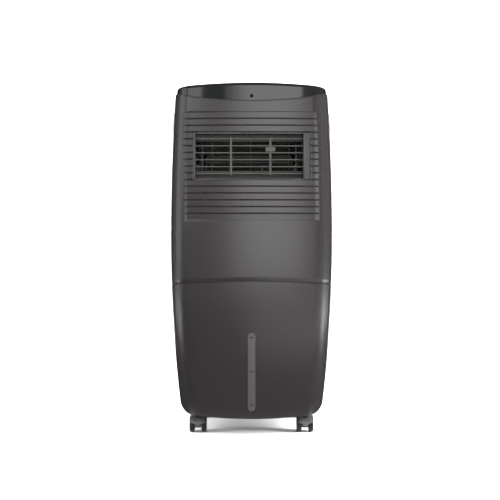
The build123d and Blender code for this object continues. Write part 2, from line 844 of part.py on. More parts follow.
# ---------------------------------------------------------------- water circuit
trough_low = cassette_top + 1.5
trough_height = 15
trough_half = cassette_width / 2 - 16
trough_y = pad_front + pad_thickness / 2
trough_width = pad_thickness - 4
spigot_level = trough_low + trough_height - hose_radius - 1
hose_x = -(cassette_width / 2 + hose_radius + 1)
hose_y = cassette_front - hose_radius - 12
hose_bore = hose_radius - 1.5
hose_turn = 0.45 * (trough_y - hose_y)
with BuildPart() as water_distributor:
    add(boxed((-trough_half, trough_y - trough_width / 2, trough_low),
              (trough_half, trough_y + trough_width / 2, trough_low + trough_height)))
    add(boxed((-trough_half + 2, trough_y - trough_width / 2 + 2, trough_low + 2),
              (trough_half - 2, trough_y + trough_width / 2 - 2, trough_low + trough_height + 1)),
        mode=Mode.SUBTRACT)
    with BuildSketch(Plane.XY.offset(trough_low - 1)):
        with Locations((0, trough_y)):
            with GridLocations(20, 1, int(2 * trough_half / 20) - 1, 1):
                Circle(1.5)
    extrude(amount=4, mode=Mode.SUBTRACT)
    with BuildSketch(Plane.YZ.offset(-trough_half - 1)):
        with Locations((trough_y, spigot_level)):
            Circle(hose_bore)
    extrude(amount=4, mode=Mode.SUBTRACT)
keep(water_distributor, "water_distributor")

pump_low = base_top
outlet_inset = 11
pump_x = pump_size / 2 + skirt_corner - 6 - side_x(base_top, wall)
pump_y = hose_y - pump_size / 2 + outlet_inset
pump_top = pump_low + pump_height
hose_foot = (pump_x - pump_size / 2 + outlet_inset, hose_y)
impeller_radius = 15
impeller_low = pump_low + 4
impeller_shaft = 1.5
with BuildPart() as water_pump:
    with BuildSketch(Plane.XY.offset(pump_low)):
        with Locations((pump_x, pump_y)):
            RectangleRounded(pump_size, pump_size, 8)
    extrude(amount=pump_height)
    with BuildSketch(Plane.XY.offset(pump_top)):
        with Locations(hose_foot):
            Circle(hose_bore)
    extrude(amount=14)
    with BuildSketch(Plane.XY.offset(pump_low - 1)):
        with Locations((pump_x, pump_y)):
            Circle(impeller_radius + 1)
    extrude(amount=17, mode=Mode.SUBTRACT)
    with BuildSketch(Plane.XY.offset(pump_low)):
        with Locations((pump_x, pump_y)):
            Circle(impeller_shaft + run_gap)
    extrude(amount=40, mode=Mode.SUBTRACT)
    with BuildSketch(Plane.XY.offset(pump_low - 1)):
        with Locations((pump_x, pump_y)):
            with PolarLocations(pump_size / 2, 4):
                Rectangle(pump_size / 2, 4)
    extrude(amount=6, mode=Mode.SUBTRACT)
keep(water_pump, "water_pump")

with BuildPart() as pump_impeller:
    with BuildSketch(Plane.XY.offset(impeller_low)):
        with Locations((pump_x, pump_y)):
            Circle(impeller_radius)
    extrude(amount=1.5)
    with BuildSketch(Plane.XY.offset(impeller_low)):
        with Locations((pump_x, pump_y)):
            Circle(impeller_shaft)
            with PolarLocations(impeller_radius / 2, 6):
                Rectangle(impeller_radius - 1, 1.4)
    extrude(amount=10)
    with BuildSketch(Plane.XY.offset(impeller_low + 10)):
        with Locations((pump_x, pump_y)):
            Circle(impeller_shaft)
    extrude(amount=20)
keep(pump_impeller, "pump_impeller")

with BuildPart() as water_hose:
    with BuildLine() as hose_path:
        FilletPolyline(
            (*hose_foot, pump_top),
            (*hose_foot, pump_top + 50),
            (hose_x, hose_y, pump_top + 150),
            (hose_x, hose_y, spigot_level),
            (hose_x, trough_y, spigot_level),
            (-trough_half, trough_y, spigot_level),
            radius=[100, 100, hose_turn, hose_turn],
        )
    with BuildSketch(Plane.XY.offset(pump_top)):
        with Locations(hose_foot):
            Circle(hose_radius)
            Circle(hose_bore, mode=Mode.SUBTRACT)
    sweep(path=hose_path.line)
keep(water_hose, "water_hose")

# ---------------------------------------------------------------- tank
door_low = tank_seam - lip_depth - 10 - door_height
door_axis = (rear_face - wall / 2, door_low + move_gap + wall / 2)
drain_x = side_x(drain_level) - rear_corner - drain_radius - 14
guide_low = window_low + 14
guide_high = window_high + 4
float_half = 7
flange_wall = 1.6
float_y = front_y(guide_low, 0, wall + flange_wall) + float_radius + 1
castor_y = (front_face + castor_front_setback, -front_face - castor_front_setback)
castor_places = [(side * castor_x, y) for y in castor_y for side in (-1, 1)]
socket_low = base_level - 5
stem_top = base_level + 1.5
tank_zone = skirt_block(0, seam_middle - seam_gap / 2, tank_seam - seam_gap / 2)
cavity_zone = skirt_block(wall, seam_middle + 20, tank_seam + 20)
lip_form = body_form(wall + fit_gap)
lip_inside = body_form(wall + fit_gap + 2)


def window_prism(grow):
    """Upright slot of the level window."""
    with BuildPart() as prism:
        with BuildSketch(Plane.XZ.offset(-front_face + 5)):
            with Locations((0, (window_low + window_high) / 2)):
                SlotOverall(window_high - window_low + 2 * grow, window_width + 2 * grow, rotation=90)
        extrude(amount=-60)
    return prism.part


with BuildPart() as lip:
    add(lip_form)
    add(arched_block(seam_middle - lip_depth, tank_seam - lip_depth,
                     seam_middle + lip_depth, tank_seam + lip_depth), mode=Mode.INTERSECT)
    add(lip_inside, mode=Mode.SUBTRACT)

with BuildPart() as lip_root:
    add(lining)
    add(arched_block(seam_middle - lip_depth, tank_seam - lip_depth,
                     seam_middle - seam_gap / 2, tank_seam - seam_gap / 2), mode=Mode.INTERSECT)
    add(lip_inside, mode=Mode.SUBTRACT)

with BuildPart() as cavity:
    add(lining)
    add(cavity_zone, mode=Mode.INTERSECT)
    add(boxed((-width, -depth, base_top), (width, depth, height)), mode=Mode.INTERSECT)

with BuildPart() as underside:
    add(lining)
    add(boxed((-width, -depth, 0), (width, depth, base_level)), mode=Mode.INTERSECT)

with BuildPart() as water_tank:
    add(skin)
    add(tank_zone, mode=Mode.INTERSECT)
    add(cavity.part, mode=Mode.SUBTRACT)
    add(underside.part, mode=Mode.SUBTRACT)
    add(lip.part)
    add(lip_root.part)
    with BuildSketch(Plane.XY.offset(socket_low)):
        with Locations(castor_places):
            Circle(11)
    extrude(amount=base_level - socket_low)
    with BuildSketch(Plane.XY.offset(socket_low)):
        with Locations(castor_places):
            Circle(stem_radius)
    extrude(amount=stem_top - socket_low, mode=Mode.SUBTRACT)
    add(boxed((-float_radius - 3, float_y - 4, base_top - 1), (float_radius + 3, float_y + float_radius + 3, guide_high)))
    add(boxed((-float_radius - 1, float_y - 5, base_top), (float_radius + 1, float_y + float_radius + 1, guide_high - 2)),
        mode=Mode.SUBTRACT)
    add(window_prism(0), mode=Mode.SUBTRACT)
    with BuildSketch(Plane.XZ.offset(-rear_face - 1)):
        with Locations((0, door_low + door_height / 2)):
            Rectangle(door_width, door_height)
        with Locations((drain_x, drain_level)):
            Circle(drain_radius)
    extrude(amount=wall + 2, mode=Mode.SUBTRACT)
    with BuildSketch(Plane.YZ.offset(-door_width / 2 - 4)):
        with Locations(door_axis):
            Circle(1 + run_gap)
    extrude(amount=door_width + 8, mode=Mode.SUBTRACT)
keep(water_tank, "water_tank")

with BuildPart() as fill_door:
    with BuildSketch(Plane.XZ.offset(-rear_face)):
        with Locations((0, door_low + door_height / 2)):
            Rectangle(door_width - 2 * move_gap, door_height - 2 * move_gap)
    extrude(amount=wall)
    fillet(fill_door.edges().filter_by(Axis.X).group_by(Axis.Z)[0], wall / 2 - 0.01)
    with BuildSketch(Plane.YZ.offset(-door_width / 2 - 3)):
        with Locations(door_axis):
            Circle(1)
    extrude(amount=door_width + 6)
    with BuildSketch(Plane.XZ.offset(-rear_face)):
        with Locations((0, door_low + door_height - 8)):
            SlotOverall(34, 7)
    extrude(amount=-2.5)
keep(fill_door, "fill_door")

with BuildPart() as drain_plug:
    with BuildSketch(Plane.XZ.offset(-(rear_face - wall - 6))):
        with Locations((drain_x, drain_level)):
            Circle(drain_radius - run_gap)
    extrude(amount=-(wall + 6))
    with BuildSketch(Plane.XZ.offset(-rear_face)):
        with Locations((drain_x, drain_level)):
            Circle(drain_radius + 4)
    extrude(amount=-grille_stand)
    with BuildSketch(Plane.XZ.offset(-(rear_face + grille_stand - 3))):
        with Locations((drain_x, drain_level)):
            with PolarLocations(drain_radius + 5, 10):
                Circle(1.8)
    extrude(amount=-4, mode=Mode.SUBTRACT)
keep(drain_plug, "drain_plug")

with BuildPart() as tank_window:
    add(body_form(0.5))
    add(lining, mode=Mode.SUBTRACT)
    add(window_prism(-0.15), mode=Mode.INTERSECT)

with BuildPart() as window_flange:
    add(lining)
    add(body_form(wall + flange_wall), mode=Mode.SUBTRACT)
    add(window_prism(2), mode=Mode.INTERSECT)

with BuildPart() as level_window:
    add(tank_window.part)
    add(window_flange.part)
keep(level_window, "level_window")

with BuildPart() as level_float:
    with BuildSketch(Plane.XY.offset(float_level - float_half)):
        with Locations((0, float_y)):
            Circle(float_radius)
    extrude(amount=2 * float_half)
    fillet(level_float.edges(), 2.5)
keep(level_float, "level_float")

# ---------------------------------------------------------------- castors
neck_top = socket_low - 0.5
stem_low = wheel_radius + 12
with BuildPart() as castor_stems:
    with BuildSketch(Plane.XY.offset(stem_low + 0.5)):
        with Locations(castor_places):
            Circle(stem_radius)
    extrude(amount=stem_top - stem_low - 0.5)
keep(castor_stems, "castor_stems")

hood_inside = wheel_radius + hood_gap
hood_radius = hood_inside + hood_wall
hood_half = castor_gap / 2 + wheel_width
castor_names = ("front_left", "front_right", "rear_left", "rear_right")
for (x, y), name in zip(castor_places, castor_names):
    axle_y = y + castor_trail
    with BuildPart() as castor_hood:
        with BuildSketch(Plane.YZ.offset(x - hood_half)):
            with Locations((axle_y, wheel_radius)):
                Circle(hood_radius)
                Circle(hood_inside, mode=Mode.SUBTRACT)
        extrude(amount=2 * hood_half)
        with BuildSketch(Plane.YZ.offset(x - castor_gap / 2 + move_gap)):
            with Locations((axle_y, wheel_radius)):
                Circle(hood_radius)
        extrude(amount=castor_gap - 2 * move_gap)
        with BuildSketch(Plane.XY.offset(wheel_radius)):
            with Locations((x, y)):
                Circle(castor_gap / 2 - move_gap)
        extrude(amount=neck_top - wheel_radius)
        add(boxed((x - 40, y - 60, -wheel_radius), (x + 40, y + 60, hood_low)), mode=Mode.SUBTRACT)
        with BuildSketch(Plane.YZ.offset(x - hood_half)):
            with Locations((axle_y, wheel_radius)):
                Circle(axle_radius)
        extrude(amount=2 * hood_half)
        with BuildSketch(Plane.XY.offset(stem_low)):
            with Locations((x, y)):
                Circle(stem_radius + run_gap)
        extrude(amount=30, mode=Mode.SUBTRACT)
    keep(castor_hood, f"castor_{name}")
    for side, edge in ((-1, "left"), (1, "right")):
        with BuildPart() as castor_wheel:
            with BuildSketch(Plane.YZ.offset(x + side * castor_gap / 2)):
                with Locations((axle_y, wheel_radius)):
                    Circle(wheel_radius)
            extrude(amount=side * wheel_width)
            fillet(castor_wheel.edges(), 1.5)
            with BuildSketch(Plane.YZ.offset(x + side * (castor_gap / 2 - 1))):
                with Locations((axle_y, wheel_radius)):
                    Circle(axle_radius + run_gap)
            extrude(amount=side * (wheel_width + 2), mode=Mode.SUBTRACT)
        keep(castor_wheel, f"wheel_{name}_{edge}")
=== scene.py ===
"""Looks of the tower air cooler: mouldings, finishes, studio and camera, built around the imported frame.

Shapes are worked out in millimetres and turned to metres when a mesh is made. X runs to the right, Y to the
rear and Z up, as in the frame.
"""

import logging
import math
from dataclasses import dataclass, field
from enum import Enum

import bpy
import numpy as np
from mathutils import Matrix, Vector


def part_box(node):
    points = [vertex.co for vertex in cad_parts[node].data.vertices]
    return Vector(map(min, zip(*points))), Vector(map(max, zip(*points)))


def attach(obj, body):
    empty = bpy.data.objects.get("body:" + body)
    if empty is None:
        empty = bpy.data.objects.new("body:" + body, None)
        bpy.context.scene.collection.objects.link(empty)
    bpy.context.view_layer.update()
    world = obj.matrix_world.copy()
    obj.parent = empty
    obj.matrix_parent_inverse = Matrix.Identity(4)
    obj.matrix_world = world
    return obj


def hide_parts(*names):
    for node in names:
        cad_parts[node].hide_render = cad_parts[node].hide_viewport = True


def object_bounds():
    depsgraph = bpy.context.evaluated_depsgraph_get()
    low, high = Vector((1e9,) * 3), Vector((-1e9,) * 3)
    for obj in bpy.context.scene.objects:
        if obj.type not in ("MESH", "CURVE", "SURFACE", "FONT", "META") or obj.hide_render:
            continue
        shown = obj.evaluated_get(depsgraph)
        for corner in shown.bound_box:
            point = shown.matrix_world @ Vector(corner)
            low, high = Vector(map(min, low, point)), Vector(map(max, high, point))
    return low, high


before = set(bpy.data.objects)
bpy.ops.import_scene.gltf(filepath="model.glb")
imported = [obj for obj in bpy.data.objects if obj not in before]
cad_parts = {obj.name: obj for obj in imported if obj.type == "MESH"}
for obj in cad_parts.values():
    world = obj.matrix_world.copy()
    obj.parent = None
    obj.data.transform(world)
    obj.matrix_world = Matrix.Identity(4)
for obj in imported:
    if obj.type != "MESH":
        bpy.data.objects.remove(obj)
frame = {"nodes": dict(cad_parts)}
cad_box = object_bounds()

logging.basicConfig(level=logging.INFO, format="%(name)s: %(message)s")
log = logging.getLogger("air_cooler")

MM = 0.001
SHARP_DEGREES = 40.0
NEAR_AXIS = 0.01
Array = np.ndarray


# ------------------------------------------------------------------ frame helpers
def node_box(node: str) -> tuple[Array, Array]:
    """Lowest and highest corners of a CAD node.

    Args:
        node: name of the CAD node.

    Returns:
        The two corners in millimetres.
    """
    low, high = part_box(node)
    return np.array(low) / MM, np.array(high) / MM


def middle(node: str) -> Array:
    """Centre of a CAD node's box.

    Args:
        node: name of the CAD node.

    Returns:
        The centre in millimetres.
    """
    low, high = node_box(node)
    return (low + high) / 2


# ------------------------------------------------------------------ mesh helpers
def signed_volume(verts: Array, quads: Array) -> float:
    """Volume enclosed by quads, negative when they face inwards.

    The sum over each quad's two triangles of the triple product of its corners, over six.

    Args:
        verts: points, one row each.
        quads: corner numbers, four to a row.

    Returns:
        The signed volume.
    """
    a, b, c, d = (verts[quads[:, k]] for k in range(4))
    first = np.einsum("ij,ij->i", a, np.cross(b, c))
    second = np.einsum("ij,ij->i", a, np.cross(c, d))
    return float((first + second).sum() / 6)


def make_piece(name: str, verts: Array, quads: Array, caps: list[Array] | None = None) -> bpy.types.Object:
    """Put quads, and any end caps, into a new smooth-shaded object whose faces point outwards.

    Args:
        name: the piece's name.
        verts: points in millimetres, one row each.
        quads: corner numbers, four to a row.
        caps: rings of corner numbers that close open ends.

    Returns:
        The new object, linked to the scene.
    """
    caps = caps or []
    verts = np.asarray(verts, float) * MM
    if signed_volume(verts, quads) < 0:
        quads = quads[:, ::-1]
        caps = [cap[::-1] for cap in caps]
    loops = np.concatenate([quads.ravel(), *caps]) if caps else quads.ravel()
    sizes = np.concatenate([np.full(len(quads), 4), [len(cap) for cap in caps]]).astype(int)
    starts = np.concatenate([[0], np.cumsum(sizes)[:-1]])
    mesh = bpy.data.meshes.new(name)
    mesh.vertices.add(len(verts))
    mesh.vertices.foreach_set("co", verts.ravel())
    mesh.loops.add(len(loops))
    mesh.loops.foreach_set("vertex_index", loops.astype(np.int32))
    mesh.polygons.add(len(sizes))
    mesh.polygons.foreach_set("loop_start", starts.astype(np.int32))
    mesh.polygons.foreach_set("use_smooth", np.ones(len(sizes), bool))
    mesh.update(calc_edges=True)
    mesh.validate()
    piece = bpy.data.objects.new(name, mesh)
    bpy.context.scene.collection.objects.link(piece)
    return piece


def join_rings(rings: Array) -> tuple[Array, Array, list[Array]]:
    """Skin closed rings of points into a tube with capped ends.

    Args:
        rings: points, shaped rings by points by 3; each ring closes on itself.

    Returns:
        Points, quads and end caps.
    """
    count, size = rings.shape[:2]
    index = np.arange(count * size).reshape(count, size)
    ahead = np.roll(index, -1, axis=1)
    quads = np.stack([index[:-1], ahead[:-1], ahead[1:], index[1:]], axis=-1).reshape(-1, 4)
    return rings.reshape(-1, 3), quads, [index[0][::-1], index[-1]]


def merge(parts: list[tuple[Array, Array, list[Array]]]) -> tuple[Array, Array, list[Array]]:
    """Put several sets of points, quads and caps into one, each turned to face outwards.

    Args:
        parts: sets as join_rings gives them.

    Returns:
        One such set.
    """
    verts, quads, caps, start = [], [], [], 0
    for points, faces, ends in parts:
        if signed_volume(points, faces) < 0:
            faces = faces[:, ::-1]
            ends = [end[::-1] for end in ends]
        verts.append(points)
        quads.append(faces + start)
        caps.extend(end + start for end in ends)
        start += len(points)
    return np.concatenate(verts), np.concatenate(quads), caps


def shell(outer: Array, inner: Array, keep_cells: Array | None = None) -> tuple[Array, Array, list[Array]]:
    """Wall between two grids of points, closed round its borders and round any cells left out.

    Each kept cell gives a quad on both grids. Each side of a kept cell with no kept cell beyond it gives a
    quad that joins the two grids.

    Args:
        outer: outer points, shaped columns by rows by 3.
        inner: inner points, in the same order.
        keep_cells: which cells are solid, shaped columns less one by rows less one.

    Returns:
        Points, quads and no caps.
    """
    columns, rows = outer.shape[:2]
    if keep_cells is None:
        keep_cells = np.ones((columns - 1, rows - 1), bool)
    index = np.arange(columns * rows).reshape(columns, rows)
    a, b, c, d = index[:-1, :-1], index[1:, :-1], index[1:, 1:], index[:-1, 1:]
    shift = columns * rows
    face = np.stack([a, b, c, d], axis=-1)[keep_cells]
    back = np.stack([d, c, b, a], axis=-1)[keep_cells] + shift
    padded = np.pad(keep_cells, 1)
    sides = ((padded[1:-1, :-2], a, b), (padded[2:, 1:-1], b, c), (padded[1:-1, 2:], c, d), (padded[:-2, 1:-1], d, a))
    rims = []
    for beyond, start, end in sides:
        edge = keep_cells & ~beyond
        rims.append(np.stack([end[edge], start[edge], start[edge] + shift, end[edge] + shift], axis=-1))
    quads = np.concatenate([face, back, *rims])
    return np.concatenate([outer.reshape(-1, 3), inner.reshape(-1, 3)]), quads, []


class Along(Enum):
    """Axis that a prism or a turned piece runs along, with the two axes of its section."""

    X = (1, 2, 0)
    Y = (0, 2, 1)
    Z = (0, 1, 2)

    def points(self, first: Array, second: Array, third: Array) -> Array:
        """Points from section coordinates and a distance along the axis.

        Args:
            first: coordinates along the section's first axis.
            second: coordinates along the section's second axis.
            third: distances along the axis.

        Returns:
            Points, one more dimension than the inputs.
        """
        out = np.empty(np.broadcast(first, second, third).shape + (3,))
        for axis, values in zip(self.value, (first, second, third)):
            out[..., axis] = values
        return out


def rounded_outline(width: float, height: float, corner: float, steps: int = 6) -> Array:
    """Outline of a rectangle with round corners, about its middle.

    Each corner is a quarter circle whose centre is one corner radius in from both sides.

    Args:
        width: size along the first axis.
        height: size along the second axis.
        corner: corner radius.
        steps: points on each quarter circle, less one.

    Returns:
        Points, one row each.
    """
    corner = max(min(corner, width / 2, height / 2), 1e-3)
    turn = np.linspace(0, math.pi / 2, steps + 1)
    quarter = np.stack([np.cos(turn), np.sin(turn)], axis=-1) * corner
    half = np.array([width / 2 - corner, height / 2 - corner])
    rotated = [quarter, quarter[:, ::-1] * [-1, 1], quarter * -1, quarter[:, ::-1] * [1, -1]]
    signs = ([1, 1], [-1, 1], [-1, -1], [1, -1])
    return np.concatenate([ring + half * sign for ring, sign in zip(rotated, signs)])


def prism(along: Along, centre: tuple[float, float], size: tuple[float, float], corner: float,
          span: tuple[float, float], edge: float = 0.0, steps: int = 6) -> tuple[Array, Array, list[Array]]:
    """Prism with a rounded rectangle as its section and rounded end edges.

    Towards each end the section shrinks along a quarter circle of the edge radius.

    Args:
        along: axis of the prism.
        centre: middle of the section.
        size: width and height of the section.
        corner: corner radius of the section.
        span: where the prism starts and ends along its axis.
        edge: radius of the end edges.
        steps: points on each section corner, less one.

    Returns:
        Points, quads and caps.
    """
    turn = np.linspace(0, math.pi / 2, 4) if edge > 0 else np.array([math.pi / 2])
    shrink = np.concatenate([edge * (1 - np.sin(turn)), edge * (1 - np.sin(turn[::-1]))])
    place = np.concatenate([span[0] + edge * (1 - np.cos(turn)), span[1] - edge * (1 - np.cos(turn[::-1]))])
    outlines = np.stack([rounded_outline(size[0] - 2 * s, size[1] - 2 * s, corner - s, steps) for s in shrink])
    rings = along.points(outlines[..., 0] + centre[0], outlines[..., 1] + centre[1], place[:, None])
    return join_rings(rings)


def turned(along: Along, centre: tuple[float, float], profile: Array,
           steps: int) -> tuple[Array, Array, list[Array]]:
    """Piece turned about an axis.

    A point of the profile at radius r and distance d goes round the axis as r cos a, r sin a, d.

    Args:
        along: axis of turning.
        centre: where the axis crosses the section plane.
        profile: radius and distance along the axis, one pair to a row.
        steps: points round the axis.

    Returns:
        Points, quads and caps.
    """
    turn = np.arange(steps) * 2 * math.pi / steps
    radius, place = np.asarray(profile, float).T
    rings = along.points(centre[0] + radius[:, None] * np.cos(turn), centre[1] + radius[:, None] * np.sin(turn),
                         place[:, None])
    return join_rings(rings)


def bevel(piece: bpy.types.Object, radius: float, segments: int = 2) -> None:
    """Round the edges of a piece that turn sharply.

    Args:
        piece: the piece.
        radius: width of the rounding in millimetres.
        segments: facets across the rounding.
    """
    rounding = piece.modifiers.new("edges", "BEVEL")
    rounding.width = radius * MM
    rounding.segments = segments
    rounding.limit_method = "ANGLE"
    rounding.angle_limit = math.radians(SHARP_DEGREES)
    rounding.harden_normals = False


# ------------------------------------------------------------------ finishes
def linear(colour: str) -> tuple[float, float, float, float]:
    """Linear colour of an sRGB hex value.

    Below 0.04045 a channel is divided by 12.92, above it the usual 2.4 power curve is undone.

    Args:
        colour: six hex digits after a hash.

    Returns:
        Red, green, blue and an alpha of one.
    """
    channels = np.array([int(colour[i:i + 2], 16) for i in (1, 3, 5)]) / 255
    low, high = channels / 12.92, ((channels + 0.055) / 1.055) ** 2.4
    return (*np.where(channels <= 0.04045, low, high).tolist(), 1.0)


def add_node(tree: bpy.types.NodeTree, kind: str, settings: dict | None = None, links: dict | None = None,
             **values: object) -> bpy.types.Node:
    """Add a shader node with its settings, socket values and incoming links.

    Args:
        tree: the node tree.
        kind: the node's type name after ShaderNode.
        settings: attributes of the node.
        links: input socket name or number to the output socket that feeds it.
        values: input socket values, with spaces in names written as underscores.

    Returns:
        The node.
    """
    node = tree.nodes.new("ShaderNode" + kind)
    for name, value in (settings or {}).items():
        setattr(node, name, value)
    for name, value in values.items():
        node.inputs[name.replace("_", " ")].default_value = value
    for name, source in (links or {}).items():
        tree.links.new(source, node.inputs[name])
    return node


@dataclass(frozen=True)
class Finish:
    """A moulded or coated surface: a base colour with a fine mottle, a grain in relief and worn roughness."""

    name: str
    colour: str
    roughness: float
    grain_mm: float = 0.9
    grain_depth_mm: float = 0.02
    mottle: float = 0.05
    mottle_mm: float = 60.0
    roughness_spread: float = 0.05
    metallic: float = 0.0
    coat: float = 0.0
    coat_roughness: float = 0.05
    specular: float = 0.5
    alpha: float = 1.0
    ior: float = 1.5

    def build(self) -> bpy.types.Material:
        """Make the material.

        Returns:
            The material, with its pattern on Object coordinates.
        """
        material = bpy.data.materials.new(self.name)
        material.use_nodes = True
        tree = material.node_tree
        tree.nodes.clear()
        place = add_node(tree, "TexCoord").outputs["Object"]
        cloud = add_node(tree, "TexNoise", links={"Vector": place}, Scale=1000 / self.mottle_mm, Detail=3.0)
        grain = add_node(tree, "TexNoise", links={"Vector": place}, Scale=1000 / self.grain_mm, Detail=2.0)
        base = linear(self.colour)
        dark = tuple(c * (1 - self.mottle) for c in base[:3]) + (1.0,)
        light = tuple(min(c * (1 + self.mottle), 1.0) for c in base[:3]) + (1.0,)
        tint = add_node(tree, "Mix", {"data_type": "RGBA"}, {0: cloud.outputs["Fac"]})
        tint.inputs[6].default_value = dark
        tint.inputs[7].default_value = light
        gloss = add_node(tree, "MapRange", links={"Value": grain.outputs["Fac"]},
                         To_Min=max(self.roughness - self.roughness_spread, 0.02),
                         To_Max=min(self.roughness + self.roughness_spread, 1.0))
        bump = add_node(tree, "Bump", links={"Height": grain.outputs["Fac"]}, Strength=1.0,
                        Distance=self.grain_depth_mm * MM)
        shader = add_node(
            tree, "BsdfPrincipled",
            links={"Base Color": tint.outputs[2], "Roughness": gloss.outputs["Result"],
                   "Normal": bump.outputs["Normal"]},
            Metallic=self.metallic, Coat_Weight=self.coat, Coat_Roughness=self.coat_roughness,
            Specular_IOR_Level=self.specular, Alpha=self.alpha)
        if not self.metallic:
            shader.inputs["IOR"].default_value = self.ior
        add_node(tree, "OutputMaterial", links={"Surface": shader.outputs["BSDF"]})
        return material


# ABS body: spark-eroded mould texture of about half a millimetre, drawn coarser so that it shows.
SATIN_ABS = Finish("satin_moulded_abs", "#1b191a", 0.22, grain_mm=1.1, grain_depth_mm=0.03, mottle=0.04)
# Crown: ABS moulded in a polished tool, so it mirrors the room with hardly any texture.
POLISHED_ABS = Finish("polished_black_abs", "#0b0c0c", 0.07, grain_mm=3.0, grain_depth_mm=0.002, mottle=0.1,
                      roughness_spread=0.02)
SMOKED_LENS = Finish("smoked_acrylic_lens", "#08090a", 0.05, grain_depth_mm=0.001, coat=1.0, coat_roughness=0.02)
BLADE_ABS = Finish("blade_moulded_abs", "#363634", 0.38, grain_mm=0.9, grain_depth_mm=0.015)
DUCT_ABS = Finish("duct_moulded_abs", "#2e2d2b", 0.5, grain_depth_mm=0.02)
TAB_ABS = Finish("tab_light_grey_abs", "#262625", 0.4, grain_depth_mm=0.015)
FAN_PP = Finish("fan_moulded_polypropylene", "#74736f", 0.55, grain_depth_mm=0.02)
GRIP_ABS = Finish("grip_fine_textured_abs", "#3b3a3a", 0.5, grain_depth_mm=0.03)
HOOD_NYLON = Finish("castor_hood_glass_filled_nylon", "#343433", 0.4, grain_mm=0.8, grain_depth_mm=0.02)
# Black nylon of the wheels. The stem collars take it too, and there its near black is partly painted shadow of the
# hole the stem rises from.
WHEEL_NYLON_AND_COLLAR_SHADE = Finish("castor_wheel_nylon", "#070707", 0.45, grain_mm=0.8, grain_depth_mm=0.02, specular=0.2)
SMOKED_WINDOW = Finish("smoked_styrene_window", "#333132", 0.3, grain_depth_mm=0.004, alpha=0.9, ior=1.59)
FLOAT_PP = Finish("float_white_polypropylene", "#e4e4e0", 0.4, grain_depth_mm=0.01)
EYE_LENS = Finish("receiver_eye_lens", "#020202", 0.5, grain_depth_mm=0.002, specular=0.15)
CHEEK_ABS = Finish("cheek_moulded_abs", "#1e1d1d", 0.35, grain_depth_mm=0.02)
LINK_ABS = Finish("link_moulded_abs", "#282827", 0.4, grain_depth_mm=0.015)
MARK_INK = Finish("mark_dark_pad_print", "#121212", 0.5, grain_depth_mm=0.005)
ZINC_STEEL = Finish("zinc_plated_steel", "#b9bbbd", 0.3, grain_depth_mm=0.006, metallic=1.0)
BOARD_MASK = Finish("board_green_solder_mask", "#1d5b34", 0.3, grain_depth_mm=0.004, coat=0.3)
TROUGH_PP = Finish("trough_natural_polypropylene", "#d5d5d0", 0.45)
HOSE_SILICONE = Finish("hose_clear_silicone", "#c8c8c0", 0.35, grain_depth_mm=0.005, alpha=0.85)
TRIM_ABS = Finish("trim_black_abs", "#202021", 0.45)
BUTTON_ABS = Finish("button_semi_gloss_abs", "#1b1b1d", 0.2, grain_depth_mm=0.004, coat=0.2)


